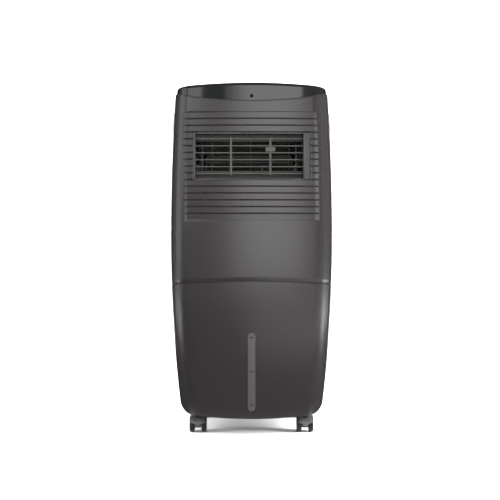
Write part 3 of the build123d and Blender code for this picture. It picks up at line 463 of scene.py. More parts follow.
# ------------------------------------------------------------------ body
@dataclass
class Barrel:
    """Skin that the front housing, the window and the side grips follow, in millimetres.

    Seen from the front, each side is two arcs that meet at the waist. The front face bows the same way and
    bulges in plan on a large radius. The upright corners are rounded.
    """

    width: float = field(default_factory=lambda: (cad_box[1][0] - cad_box[0][0]) / MM)
    depth: float = field(default_factory=lambda: (cad_box[1][1] - cad_box[0][1]) / MM)
    height: float = field(default_factory=lambda: (cad_box[1][2] - cad_box[0][2]) / MM)
    waist: float = 455.0
    foot: float = 67.0
    shoulder_drop: float = 28.0
    side_sags: tuple[float, float] = (22.5, 10.0)
    front_sags: tuple[float, float] = (14.0, 7.0)
    plan_radius: float = 1300.0
    front_corner: float = 45.0
    rear_corner: float = 24.0
    grille_stand: float = 5.0
    wall: float = 3.0
    arch_spread: float = 2.0
    outlet_half: float = 134.4
    tank_seam: float = 347.0
    seam_arch: float = 8.0
    seam_gap: float = 0.8
    crown_depth: float = 43.0
    crown_sag: float = 20.0
    cassette_gap: float = 0.6

    @property
    def front(self) -> float:
        """Y of the front face at the waist."""
        return -self.depth / 2

    @property
    def rear(self) -> float:
        """Y of the rear wall."""
        return self.depth / 2 - self.grille_stand

    @property
    def rear_half(self) -> float:
        """Half width of the cassette opening in the rear wall."""
        return node_box("rear_grille")[1][0] + self.cassette_gap

    def bowed(self, reach: float, sags: tuple[float, float], level: Array, inset: Array) -> Array:
        """Reach of a face that bows out to its full reach at the waist.

        Each half is an arc of radius (rise squared plus sag squared) over twice the sag.

        Args:
            reach: reach at the waist.
            sags: how far the face falls back at the foot and at the shoulder.
            level: heights.
            inset: distance in from the face.

        Returns:
            The reach at each height.
        """
        rises = (self.waist - self.foot, self.height - self.shoulder_drop - self.waist)
        low, high = ((rise**2 + sag**2) / (2 * sag) for rise, sag in zip(rises, sags))
        radius = np.where(level < self.waist, low, high)
        return reach - radius + np.sqrt((radius - inset) ** 2 - (level - self.waist) ** 2)

    def side_x(self, level: Array, inset: Array = 0.0) -> Array:
        """Half width of the body.

        Args:
            level: heights.
            inset: distance in from the skin.

        Returns:
            The half width at each height.
        """
        return self.bowed(self.width / 2, self.side_sags, np.asarray(level, float), inset)

    def front_radius(self, level: Array, inset: Array = 0.0) -> Array:
        """Plan radius of the front face.

        Args:
            level: heights.
            inset: distance in from the skin.

        Returns:
            The radius at each height.
        """
        return self.bowed(self.plan_radius, self.front_sags, np.asarray(level, float), inset)

    def front_y(self, x: Array, level: Array, inset: Array = 0.0) -> Array:
        """Y of the front face, leaving out the corner rounding.

        Args:
            x: distances from the middle.
            level: heights.
            inset: distance in from the skin.

        Returns:
            Y at each point.
        """
        return self.front + self.plan_radius - np.sqrt(self.front_radius(level, inset) ** 2 - np.square(x))

    def arch(self, x: Array, side: float, centre: float) -> Array:
        """Height of an arc across the body.

        The radius is (half width squared plus rise squared) over twice the rise.

        Args:
            x: distances from the middle.
            side: its level at the sides.
            centre: its level in the middle.

        Returns:
            The height at each distance.
        """
        half = self.width / 2 + self.arch_spread
        rise = centre - side
        radius = (half**2 + rise**2) / (2 * abs(rise))
        return centre - np.sign(rise) * (radius - np.sqrt(radius**2 - np.square(np.minimum(np.abs(x), half))))

    def seam(self, x: Array, shift: float = 0.0) -> Array:
        """Height of the seam between tank and housing.

        Args:
            x: distances from the middle.
            shift: distance up from the seam.

        Returns:
            The height at each distance.
        """
        return self.arch(x, self.tank_seam, self.tank_seam + self.seam_arch) + shift

    def crown_line(self, x: Array) -> Array:
        """Height of the crown's lower edge, which sags to the middle.

        Args:
            x: distances from the middle.

        Returns:
            The height at each distance.
        """
        return self.arch(x, self.height - self.crown_depth + self.crown_sag, self.height - self.crown_depth)

    def outline(self, station: Array, level: Array, inset: Array = 0.0) -> Array:
        """Plan points of the body's skin.

        Stations run from 0 at the front middle: 1 is the outlet's edge, 2 the start of the corner, 3 its end,
        4 the start of the rear corner, 5 its end, 6 the cassette opening's edge and 7 the rear middle. Minus
        signs give the left side. A corner is a circle that touches the front circle from inside and the side
        line.

        Args:
            station: places along the outline, one to a row.
            level: heights, shaped stations by rows.
            inset: distance in from the skin, of the same shape or a number.

        Returns:
            Points shaped stations by rows by 3.
        """
        level = np.asarray(level, float)
        inset = np.broadcast_to(inset, level.shape)
        side = np.where(station < 0, -1.0, 1.0)[:, None]
        along = np.abs(station)[:, None]
        stretch = np.clip(np.floor(along), 0, 6).astype(int)
        part = along - stretch
        far = self.side_x(level, inset)
        radius = self.front_radius(level, inset)
        near_round, rear_round = self.front_corner - inset, self.rear_corner - inset
        centre_x = far - near_round
        reach = radius - near_round
        centre_y = self.front + self.plan_radius - np.sqrt(reach**2 - centre_x**2)
        start = np.arcsin(centre_x / reach)
        touch = radius * np.sin(start)
        turn = start + part * (math.pi / 2 - start)
        rear = self.rear - inset
        opening = self.rear_half
        rear_turn = part * math.pi / 2
        edge = np.minimum(self.outlet_half, touch)
        bulge = self.front + self.plan_radius

        def on_front(x: Array) -> Array:
            """Y of the front circle.

            Args:
                x: distances from the middle.

            Returns:
                Y at each distance.
            """
            return bulge - np.sqrt(radius**2 - x**2)

        first_x, second_x = part * edge, edge + part * (touch - edge)
        xs = [first_x, second_x, centre_x + near_round * np.sin(turn), far,
              far - rear_round + rear_round * np.cos(rear_turn),
              far - rear_round + part * (opening - far + rear_round), opening * (1 - part)]
        ys = [on_front(first_x), on_front(second_x), centre_y - near_round * np.cos(turn),
              centre_y + part * (rear - rear_round - centre_y),
              rear - rear_round + rear_round * np.sin(rear_turn), rear + 0 * far, rear + 0 * far]
        stretch = np.broadcast_to(stretch, level.shape)
        x = np.choose(stretch, [np.broadcast_to(v, level.shape) for v in xs]) * side
        y = np.choose(stretch, [np.broadcast_to(v, level.shape) for v in ys])
        return np.stack([x, y, level], axis=-1)


def stations(*runs: tuple[float, float, int]) -> Array:
    """Stations along the outline, as runs of evenly spaced values whose ends meet.

    Args:
        runs: start, end and number of steps of each run.

    Returns:
        The stations, each once.
    """
    values = [np.linspace(start, end, steps + 1)[:-1] for start, end, steps in runs]
    return np.concatenate([*values, [runs[-1][1]]])


def both_sides(right: Array) -> Array:
    """Stations of both sides, from the rear on the left round to the rear on the right.

    Args:
        right: stations of the right side, the middle first.

    Returns:
        The stations of both sides, with the middle once.
    """
    return np.concatenate([-right[:0:-1], right])


@dataclass
class SlattedHousing:
    """Front moulding of the upper housing, with its slatted field and the outlet."""

    barrel: Barrel
    field_drop: float = 69.0
    pitch: float = 15.5
    count: int = 16
    above: int = 3
    opened: int = 7
    recess: float = 2.0
    field_half: float = 157.0
    field_fade: float = 9.0
    groove: float = 2.0
    groove_half: float = 1.7
    lean: float = 0.4
    field_wall: float = 2.4
    rows_by_groove: tuple[float, ...] = (0.4, 0.9, 1.35, 1.7, 2.4)
    rows_by_end: tuple[float, ...] = (0.15, 3.0)
    foot_rows: int = 12
    head_rows: int = 6
    grip_span: tuple[float, float] = (-106.0, -14.0)
    grip_levels: tuple[float, float] = (703.0, 741.0)
    split: float = 3.977
    side_station: float = 3.0
    edge_round: float = 0.7

    @property
    def field_top(self) -> float:
        """Top of the slatted field."""
        return self.barrel.height - self.field_drop

    @property
    def field_low(self) -> float:
        """Bottom of the slatted field."""
        return self.field_top - self.count * self.pitch

    @property
    def outlet(self) -> tuple[float, float]:
        """Lower and upper level of the outlet."""
        top = self.field_top - self.above * self.pitch
        return top - self.opened * self.pitch, top

    def field_depth(self, level: Array) -> Array:
        """Depth of the slatted field below the skin.

        The recess is flat. Each groove adds a dip that falls as a raised cosine to its full depth. A slat's
        face leans in towards its lower edge.

        Args:
            level: heights.

        Returns:
            Depth at each height, nought outside the field.
        """
        steps = (self.field_top - level) / self.pitch
        nearest = np.round(steps)
        away = np.abs(steps - nearest) * self.pitch / self.groove_half
        inside = (nearest >= 1) & (nearest <= self.count - 1)
        dip = np.where(inside & (away < 1), 0.5 + 0.5 * np.cos(math.pi * np.minimum(away, 1)), 0.0)
        within = (level > self.field_low) & (level < self.field_top)
        lean = self.lean * (steps - np.floor(steps))
        return np.where(within, self.recess + lean + self.groove * np.sqrt(dip), 0.0)

    def levels(self) -> Array:
        """Heights of the rows through the slatted field: close together at each groove and at its ends."""
        near_groove, near_end = np.array(self.rows_by_groove), np.array(self.rows_by_end)
        lines = self.field_top - self.pitch * np.arange(1, self.count)
        ends = np.array([self.field_low, self.field_top])
        rows = [place[:, None] + side * near for place, near in ((lines, near_groove), (ends, near_end))
                for side in (-1, 1)]
        return np.unique(np.concatenate([*(row.ravel() for row in rows), self.outlet]))

    def front_rows(self, x: Array) -> Array:
        """Row heights of the front housing, level in the field and arched at the seams.

        Args:
            x: distance from the middle, one column each.

        Returns:
            Heights shaped columns by rows.
        """
        body = self.barrel
        low = body.seam(x, body.seam_gap / 2)
        high = body.crown_line(x)
        field_rows = self.levels()
        rise = np.linspace(0, 1, self.foot_rows + 1)[:-1]
        foot = low[:, None] + rise * (field_rows[0] - low[:, None])
        cap_rise = np.linspace(0, 1, self.head_rows + 1)[1:]
        head = field_rows[-1] + cap_rise * (high[:, None] - field_rows[-1])
        middle_rows = np.broadcast_to(field_rows, (len(x), len(field_rows)))
        return np.concatenate([foot, middle_rows, head], axis=1)

    def front(self) -> bpy.types.Object:
        """Build the front housing.

        The outer grid follows the skin, and in the field lies no nearer than the recessed front face. The
        inner grid is a wall behind it. Cells at the outlet and at the side grips are left out.

        Returns:
            The front housing.
        """
        body = self.barrel
        right = stations((0, 1, 30), (1, 2, 4), (2, 3, 14), (3, self.split, 24))
        line = both_sides(right)
        guess = np.full((len(line), 1), body.waist)
        for _ in range(2):
            x = body.outline(line, guess)[..., 0].mean(axis=1)
            rows = self.front_rows(x)
            guess = rows
        outer = body.outline(line, rows)
        facing = (np.abs(line) < self.side_station)[:, None]
        fade = np.clip((self.field_half - np.abs(outer[..., 0])) / self.field_fade, 0, 1)
        sunk = body.front_y(outer[..., 0], rows, self.field_depth(rows) * fade)
        within = facing & (self.field_depth(rows) > 0)
        outer[..., 1] = np.where(within, np.maximum(outer[..., 1], sunk), outer[..., 1])
        inner = body.outline(line, rows, body.wall)
        backed = np.where(within, outer[..., 1] + self.field_wall, inner[..., 1])
        inner[..., 1] = np.maximum(inner[..., 1], backed)
        centre = (outer[:-1, :-1] + outer[1:, 1:]) / 2
        low, high = self.outlet
        is_open = (np.abs(centre[..., 0]) < body.outlet_half) & (centre[..., 1] < 0)
        is_open &= (centre[..., 2] > low) & (centre[..., 2] < high)
        grip = (centre[..., 1] > self.grip_span[0]) & (centre[..., 1] < self.grip_span[1])
        grip &= (centre[..., 2] > self.grip_levels[0]) & (centre[..., 2] < self.grip_levels[1])
        beside = np.abs(line) > self.side_station
        grip &= (beside[:-1] | beside[1:])[:, None]
        piece = make_piece("housing_front", *shell(outer, inner, ~(is_open | grip)))
        bevel(piece, self.edge_round)
        return piece


@dataclass
class LevelWindow:
    """Smoked strip in the tank's front that shows the water level, with its three printed marks."""

    barrel: Barrel
    half: float = 8.6
    proud: float = 0.3
    flange: float = 2.0
    sunk: float = 2.0
    edge_round: float = 0.8
    mark_insets: tuple[float, float] = (14.0, 10.0)
    middle_mark_lift: float = 2.0
    mark_size: tuple[float, float] = (9.6, 4.2)
    mark_corner: float = 1.6
    mark_edge: float = 0.1
    mark_reach: tuple[float, float] = (-0.12, 1.0)
    columns: int = 17
    rows: int = 90
    open_ends: float = 0.9999

    def span(self) -> tuple[float, float]:
        """Lower and upper end of the window."""
        low, high = node_box("level_window")
        return low[2] + self.flange, high[2] - self.flange

    def grid(self, inset: float) -> Array:
        """Grid over an upright slot with round ends that lies on the tank's skin.

        A column at a share of the half width keeps that share; its ends follow the round ends. Along each
        column the heights are spaced evenly.

        Args:
            inset: distance in from the skin.

        Returns:
            Points shaped columns by rows by 3.
        """
        low, high = self.span()
        share = np.sin(np.linspace(-math.pi / 2, math.pi / 2, self.columns))[:, None]
        x = self.half * share * self.open_ends
        cap = np.sqrt(self.half**2 - x**2)
        rise = np.linspace(0, 1, self.rows)[None, :]
        start, end = low + self.half - cap, high - self.half + cap
        level = start + rise * (end - start)
        x = np.broadcast_to(x, level.shape)
        return np.stack([x, self.barrel.front_y(x, level, inset), level], axis=-1)

    def build(self) -> tuple[bpy.types.Object, bpy.types.Object]:
        """Build the window and its marks.

        Returns:
            The pane and the marks.
        """
        pane = make_piece("window_pane", *shell(self.grid(-self.proud), self.grid(self.sunk)))
        bevel(pane, self.edge_round, 3)
        low, high = self.span()
        marks = []
        for level in (low + self.mark_insets[0], (low + high) / 2 + self.middle_mark_lift,
                      high - self.mark_insets[1]):
            y = float(self.barrel.front_y(0, level, -self.proud))
            span = (y + self.mark_reach[0], y + self.mark_reach[1])
            marks.append(prism(Along.Y, (0, level), self.mark_size, self.mark_corner, span, self.mark_edge))
        return pane, make_piece("window_marks", *merge(marks))


@dataclass
class Outlet:
    """Parts that fill the outlet: rails with posts and pivot bosses, side cheeks and the deflectors."""

    frame_wall: float = 2.6
    rail_ends: tuple[float, float] = (-127.8, 117.4)
    rail_front: float = -134.4
    rail_back: float = -131.8
    rail_corner: float = 0.6
    rail_edge: float = 0.5
    upper_rail: float = 676.2
    lower_rail: float = 609.0
    bead_lift: float = 4.2
    bead_height: float = 2.2
    bead_stand: float = 1.0
    bead_edge: float = 0.4
    first_post: float = -124.6
    post_pitch: float = 74.4
    post_count: int = 4
    post_width: float = 3.0
    post_top: float = 623.0
    post_corner: float = 0.8
    post_span: tuple[float, float] = (-1.2, 0.6)
    sunk: float = 0.5
    boss_radius: float = 2.6
    boss_chamfer: float = 0.4
    boss_stand: float = 0.9
    boss_steps: int = 20
    boss_drop: float = 10.5
    boss_lift: float = 11.0
    cheek_span: tuple[float, float] = (-157.2, -152.8)
    cheek_gap: float = 1.0
    cheek_corner: float = 0.8
    cheek_edge: float = 0.7
    right_cheek: tuple[float, float] = (125.8, 15.2)
    left_cheek: tuple[float, float] = (-131.2, 5.0)
    vane_half_chord: float = 14.6
    vane_half_width: float = 0.9
    vane_least_half: float = 0.15
    vane_end_gap: float = 1.2
    vane_rows: int = 12
    pin_size: float = 3.4
    pin_corner: float = 1.6
    pin_edge: float = 0.3

    def fascia(self) -> bpy.types.Object:
        """Build the rails behind the louvres, the posts that rise from the lower one and the pivots' bosses."""
        low, high = node_box("louvre_frame")
        left, right = self.rail_ends
        floor, ceiling = low[2] + self.frame_wall, high[2] - self.frame_wall
        front, span = self.rail_front, (self.rail_front, self.rail_back)
        middle_x, wide = (left + right) / 2, right - left
        parts = [prism(Along.Y, (middle_x, (start + end) / 2), (wide, end - start), self.rail_corner, span,
                       self.rail_edge)
                 for start, end in ((self.upper_rail, ceiling), (floor, self.lower_rail))]
        parts.append(prism(Along.Y, (middle_x, floor + self.bead_lift), (wide, self.bead_height), self.rail_corner,
                           (front - self.bead_stand, front + self.sunk), self.bead_edge))
        post_span = (front + self.post_span[0], front + self.post_span[1])
        for post in range(self.post_count):
            x = self.first_post + self.post_pitch * post
            parts.append(prism(Along.Y, (x, (floor + self.post_top) / 2), (self.post_width, self.post_top - floor),
                               self.post_corner, post_span, self.rail_edge))
        face, root = front - self.boss_stand, front + self.sunk
        boss = [[NEAR_AXIS, face], [self.boss_radius - self.boss_chamfer, face],
                [self.boss_radius, face + self.boss_chamfer], [self.boss_radius, root], [NEAR_AXIS, root]]
        for blade in range(1, 6):
            x = middle(f"deflector_blade_{blade}")[0]
            for level in (self.upper_rail + self.boss_drop, floor + self.boss_lift):
                parts.append(turned(Along.Y, (x, level), boss, self.boss_steps))
        return make_piece("outlet_fascia", *merge(parts))

    def cheeks(self) -> bpy.types.Object:
        """Build the side cheeks just inside the outlet's rim."""
        low, high = node_box("louvre_frame")
        level = (low[2] + high[2]) / 2
        tall = high[2] - low[2] - self.cheek_gap
        parts = [prism(Along.Y, (x, level), (wide, tall), self.cheek_corner, self.cheek_span, self.cheek_edge)
                 for x, wide in (self.right_cheek, self.left_cheek)]
        return make_piece("outlet_cheeks", *merge(parts))

    def deflector(self, number: int) -> bpy.types.Object:
        """Build one deflector: a tapered upright vane.

        Args:
            number: the deflector's number.

        Returns:
            The vane.
        """
        name = f"deflector_blade_{number}"
        low, high = node_box(name)
        x, y = middle(name)[:2]
        chord = np.linspace(0, math.pi, 9)
        along = self.vane_half_chord * np.cos(chord)
        half = self.vane_half_width * np.sin(chord) ** 0.5 + self.vane_least_half
        ring = np.concatenate([np.stack([half, along], axis=-1), np.stack([-half, along], axis=-1)[::-1]])
        levels = np.linspace(low[2] + self.vane_end_gap, high[2] - self.vane_end_gap, self.vane_rows)
        rings = Along.Z.points(ring[:, 0] + x, ring[:, 1] + y, levels[:, None])
        pin = prism(Along.Z, (x, y), (self.pin_size, self.pin_size), self.pin_corner, (low[2], high[2]),
                    self.pin_edge)
        return make_piece(f"deflector_{number}", *merge([join_rings(rings), pin]))


@dataclass
class SideGrip:
    """Cup set into the side of the housing for carrying, with a low rounded rim."""

    barrel: Barrel
    side: int
    node: str
    stand: float = 1.1
    depth: float = 27.5
    wall: float = 2.0
    rim: float = 4.0
    rim_round: float = 0.9
    lead_in: float = 1.4
    corner: float = 14.0
    least_corner: float = 3.0
    corner_steps: int = 10

    def build(self) -> bpy.types.Object:
        """Build the grip: rings that run from the back of the cup, out over the rim and into the cup.

        Each ring is a rounded rectangle shrunk by an inset and set off from the body's side by an offset. The
        rim is rounded on its outside and chamfered where it leads into the cup.

        Returns:
            The grip.
        """
        low, high = node_box(self.node)
        centre = (low + high) / 2
        length, tall = high[1] - low[1], high[2] - low[2]
        turn = np.linspace(0, math.pi / 2, 6)
        steps = [(self.rim + 1.0, -self.depth - self.wall), (self.rim + 1.0, -3.2), (0.4, -3.0), (0.0, 0.0)]
        steps += [(self.rim_round * (1 - math.cos(a)), self.stand * math.sin(a)) for a in turn[1:]]
        steps += [(self.rim - self.lead_in * math.cos(a), self.stand - self.lead_in * (1 - math.cos(a)))
                  for a in turn]
        steps += [(self.rim + step, -self.depth + rise) for step, rise in ((2.0, 4.0), (3.2, 1.2), (6.0, 0.0))]
        rings = []
        for inset, offset in steps:
            ring = rounded_outline(length - 2 * inset, tall - 2 * inset,
                                   max(self.corner - inset, self.least_corner), self.corner_steps)
            y, z = ring[:, 0] + centre[1], ring[:, 1] + centre[2]
            x = self.side * (self.barrel.side_x(z) + offset)
            rings.append(np.stack([x, y, z], axis=-1))
        name = "grip_left" if self.side < 0 else "grip_right"
        return make_piece(name, *join_rings(np.array(rings)))


@dataclass
class Castor:
    """Twin-wheel castor: a hood rounded over both wheels, a web between them and a stem collar."""

    corner: str
    radius: float = 23.4
    half: float = 19.5
    shoulder: float = 11.0
    shoulder_fall: float = 0.62
    shoulder_end: float = 0.995
    hood_wall: float = 2.2
    edge_degrees: float = 4.0
    edge_lift_degrees: float = 9.0
    flat_half: float = 6.0
    lift_width: float = 9.0
    web_half: float = 7.2
    web_inset: float = 1.0
    web_foot: float = 8.0
    web_foot_share: float = 0.6
    trail: float = 12.0
    taper: float = 0.12
    collar_profile: tuple[tuple[float, float], ...] = (
        (NEAR_AXIS, 31.0), (5.8, 31.0), (6.8, 32.0), (6.8, 45.2), (6.0, 46.4), (NEAR_AXIS, 46.4))
    wheel_gap: float = 0.1
    tread_radius: float = 20.0
    tread_round: float = 2.5
    bead_radius: float = 17.4
    inner_chamfer: float = 1.6
    dish: tuple[tuple[float, float], ...] = (
        (14.6, 0.0), (13.8, 1.8), (6.0, 2.6), (5.4, 0.6), (NEAR_AXIS, 0.4))

    def hood(self) -> bpy.types.Object:
        """Build the hood.

        Across the castor the radius falls off at each side along a quarter ellipse. Round the axle the shell
        runs from the front edge over the top to the rear edge; both edges rise towards the sides.

        Returns:
            The hood.
        """
        low, high = node_box(f"castor_{self.corner}")
        x = (low[0] + high[0]) / 2
        y, axle = middle(f"wheel_{self.corner}_left")[1:]
        place = np.linspace(-1, 1, 41)
        across = self.half * np.sin(place * math.pi / 2)
        over = np.clip((np.abs(across) - self.half + self.shoulder) / self.shoulder, 0, 1)
        fall = 1 - np.sqrt(1 - np.minimum(over, self.shoulder_end) ** 2)
        reach = self.radius - self.shoulder * self.shoulder_fall * fall
        lift = np.clip((np.abs(across) - self.flat_half) / self.lift_width, 0, 1) ** 1.5
        start = np.radians(self.edge_degrees + self.edge_lift_degrees * lift)
        turn = start[:, None] + np.linspace(0, 1, 49) * (math.pi - 2 * start[:, None])

        def grid(drop: float) -> Array:
            """Hood surface below its outside.

            Args:
                drop: how far below.

            Returns:
                Points shaped places across by turns by 3.
            """
            arm = (reach - drop)[:, None]
            side = np.sign(across) * np.maximum(np.abs(across) - drop * over, 0)
            narrowed = side[:, None] * (1 - self.taper * np.sin(turn) ** 2)
            return np.stack([x + narrowed, y - arm * np.cos(turn), axle + arm * np.sin(turn)], axis=-1)

        cover = shell(grid(0.0), grid(self.hood_wall))
        edge = math.radians(self.edge_degrees)
        arc = np.linspace(edge, math.pi - edge, 33)
        arm = self.radius - self.web_inset
        foot, sole = arm * self.web_foot_share, axle - self.web_foot
        web_ring = np.stack([y - arm * np.cos(arc), axle + arm * np.sin(arc)], axis=-1)
        web_ring = np.concatenate([web_ring, [[y + foot, sole], [y - foot, sole]]])
        web = join_rings(Along.X.points(web_ring[:, 0], web_ring[:, 1],
                                        np.array([x - self.web_half, x + self.web_half])[:, None]))
        return make_piece(f"hood_{self.corner}", *merge([cover, web]))

    def collar(self) -> bpy.types.Object:
        """Build the stem's collar, which stands out of the hood's front. Its near-black finish is partly painted
        shadow of the hole in the hood that the stem rises from.
        """
        low, high = node_box(f"castor_{self.corner}")
        axle = middle(f"wheel_{self.corner}_left")
        centre = ((low[0] + high[0]) / 2, axle[1] - self.trail)
        return make_piece(f"collar_{self.corner}", *turned(Along.Z, centre, self.collar_profile, 32))

    def wheel(self, side: str) -> bpy.types.Object:
        """Build a wheel with a rounded tread and a dished hub.

        Args:
            side: left or right.

        Returns:
            The wheel.
        """
        node = f"wheel_{self.corner}_{side}"
        low, high = node_box(node)
        centre = (low + high) / 2
        sign = -1.0 if side == "left" else 1.0
        half = (high[0] - low[0]) / 2 - self.wheel_gap
        turn = np.linspace(0, math.pi / 2, 6)
        arc_radius, arc_place = self.tread_radius - self.tread_round, half - self.tread_round
        tread = [[arc_radius + self.tread_round * math.cos(a), arc_place + self.tread_round * math.sin(a)]
                 for a in turn]
        bead = self.bead_radius
        profile = [[NEAR_AXIS, -half], [bead, -half], [bead + self.tread_round, -half + self.inner_chamfer],
                   *tread, *([radius, half - depth] for radius, depth in self.dish)]
        profile = np.array(profile) * [1, sign] + [0, centre[0]]
        body = turned(Along.X, (centre[1], centre[2]), profile, 72)
        return make_piece(f"castor_wheel_{self.corner}_{side}", *body)


# ------------------------------------------------------------------ finishes of the kept CAD nodes
SLOT_FINISHES = {
    "body": SATIN_ABS, "crown": POLISHED_ABS, "lens": SMOKED_LENS, "dark_lens": SMOKED_LENS, "blade": BLADE_ABS,
    "tab": TAB_ABS, "frame": DUCT_ABS, "grip": GRIP_ABS, "button": BUTTON_ABS, "board": BOARD_MASK,
    "steel": ZINC_STEEL, "fan": FAN_PP, "trim": TRIM_ABS, "window": SMOKED_WINDOW, "float": FLOAT_PP,
    "pad": TROUGH_PP, "mesh": TRIM_ABS, "hose": HOSE_SILICONE, "trough": TROUGH_PP, "hood": HOOD_NYLON,
    "tread": WHEEL_NYLON_AND_COLLAR_SHADE,
}


class Painter:
    """Keeps one material per finish and gives them out to pieces."""

    def __init__(self) -> None:
        """Start with no materials made."""
        self._made: dict[str, bpy.types.Material] = {}

    def material(self, finish: Finish) -> bpy.types.Material:
        """The material of a finish, made on first use.

        Args:
            finish: the finish.

        Returns:
            Its material.
        """
        if finish.name not in self._made:
            self._made[finish.name] = finish.build()
        return self._made[finish.name]

    def paint(self, piece: bpy.types.Object, finish: Finish, body: str) -> bpy.types.Object:
        """Give a new piece its finish and the body that it rides on.

        Args:
            piece: the new piece.
            finish: its finish.
            body: the CAD body that it moves with.

        Returns:
            The piece.
        """
        piece.data.materials.append(self.material(finish))
        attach(piece, body)
        return piece

    def stand_in(self, piece: bpy.types.Object, node: str, finish: Finish, body: str) -> None:
        """Paint a new piece and let it stand for a CAD node.

        Args:
            piece: the new piece.
            node: the CAD node that it replaces.
            finish: its finish.
            body: the CAD body that it moves with.
        """
        self.paint(piece, finish, body)
        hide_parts(node)

    def repaint(self, nodes: dict[str, bpy.types.Object], special: dict[str, Finish]) -> None:
        """Give the kept CAD nodes their finishes by node, or else by the record slot of their material.

        Args:
            nodes: CAD objects by node name.
            special: finishes of single nodes.
        """
        for name, node in nodes.items():
            for place in node.material_slots:
                key = place.material.name.split(".")[0] if place.material else ""
                finish = special.get(name) or SLOT_FINISHES.get(key)
                if finish is None:
                    log.warning("no finish for %s (%s)", name, key)
                    continue
                place.material = self.material(finish)


# ------------------------------------------------------------------ studio
@dataclass(frozen=True)
class Softbox:
    """Rectangular area light, in millimetres and watts."""

    name: str
    place: tuple[float, float, float]
    size: tuple[float, float]
    power: float
    aim: tuple[float, float, float] = (0.0, 0.0, 420.0)
    mirrored: bool = False

    def hang(self) -> None:
        """Hang the softbox facing its aim. Glossy surfaces show it only when it is mirrored."""
        light = bpy.data.lights.new(self.name, "AREA")
        light.shape = "RECTANGLE"
        light.size, light.size_y = (value * MM for value in self.size)
        light.energy = self.power
        holder = bpy.data.objects.new(self.name, light)
        bpy.context.scene.collection.objects.link(holder)
        holder.location = [value * MM for value in self.place]
        direction = Vector([a - b for a, b in zip(self.aim, self.place)])
        holder.rotation_euler = direction.to_track_quat("-Z", "Y").to_euler()
        holder.visible_glossy = self.mirrored


SOFTBOXES = (
    Softbox("overhead", (0, 300, 3600), (4200, 4200), 170, (0, 300, 0)),
    Softbox("key_right", (1900, -1700, 1300), (1300, 1800), 45),
    Softbox("side_left", (-2400, -800, 1200), (900, 1800), 100),
    Softbox("side_right", (2400, -900, 1250), (900, 1800), 300),
)
STRIPS = (
    Softbox("front_strip", (-2300, -4000, 1800), (2600, 1700), 34.0, (-2300, 0, 1800), mirrored=True),
    Softbox("side_strip", (-3000, -1300, 1300), (2200, 2200), 26.0, (0, 0, 1000), mirrored=True),
)

BLACK_FELT = Finish("flag_felt", "#020202", 0.9, mottle=0.0, grain_depth_mm=0.0, specular=0.0)
GREY_CARD = Finish("flag_grey_card", "#8e8e8e", 0.9, mottle=0.0, grain_depth_mm=0.0, specular=0.0)
SWEEP_PAPER = Finish("studio_paper", "#f2f2f2", 0.8, mottle=0.0, grain_depth_mm=0.0)
FLOOR_CARDS = (
    ("card_front", BLACK_FELT, (0, -620), (2600, 760)),
    ("card_left_front", BLACK_FELT, (-1300, -2450), (2600, 2900)),
    ("card_right_front", GREY_CARD, (1300, -2450), (2600, 2900)),
    ("card_left", BLACK_FELT, (-1000, 980), (1500, 2440)),
    ("card_right", BLACK_FELT, (1000, 980), (1500, 2440)),
)


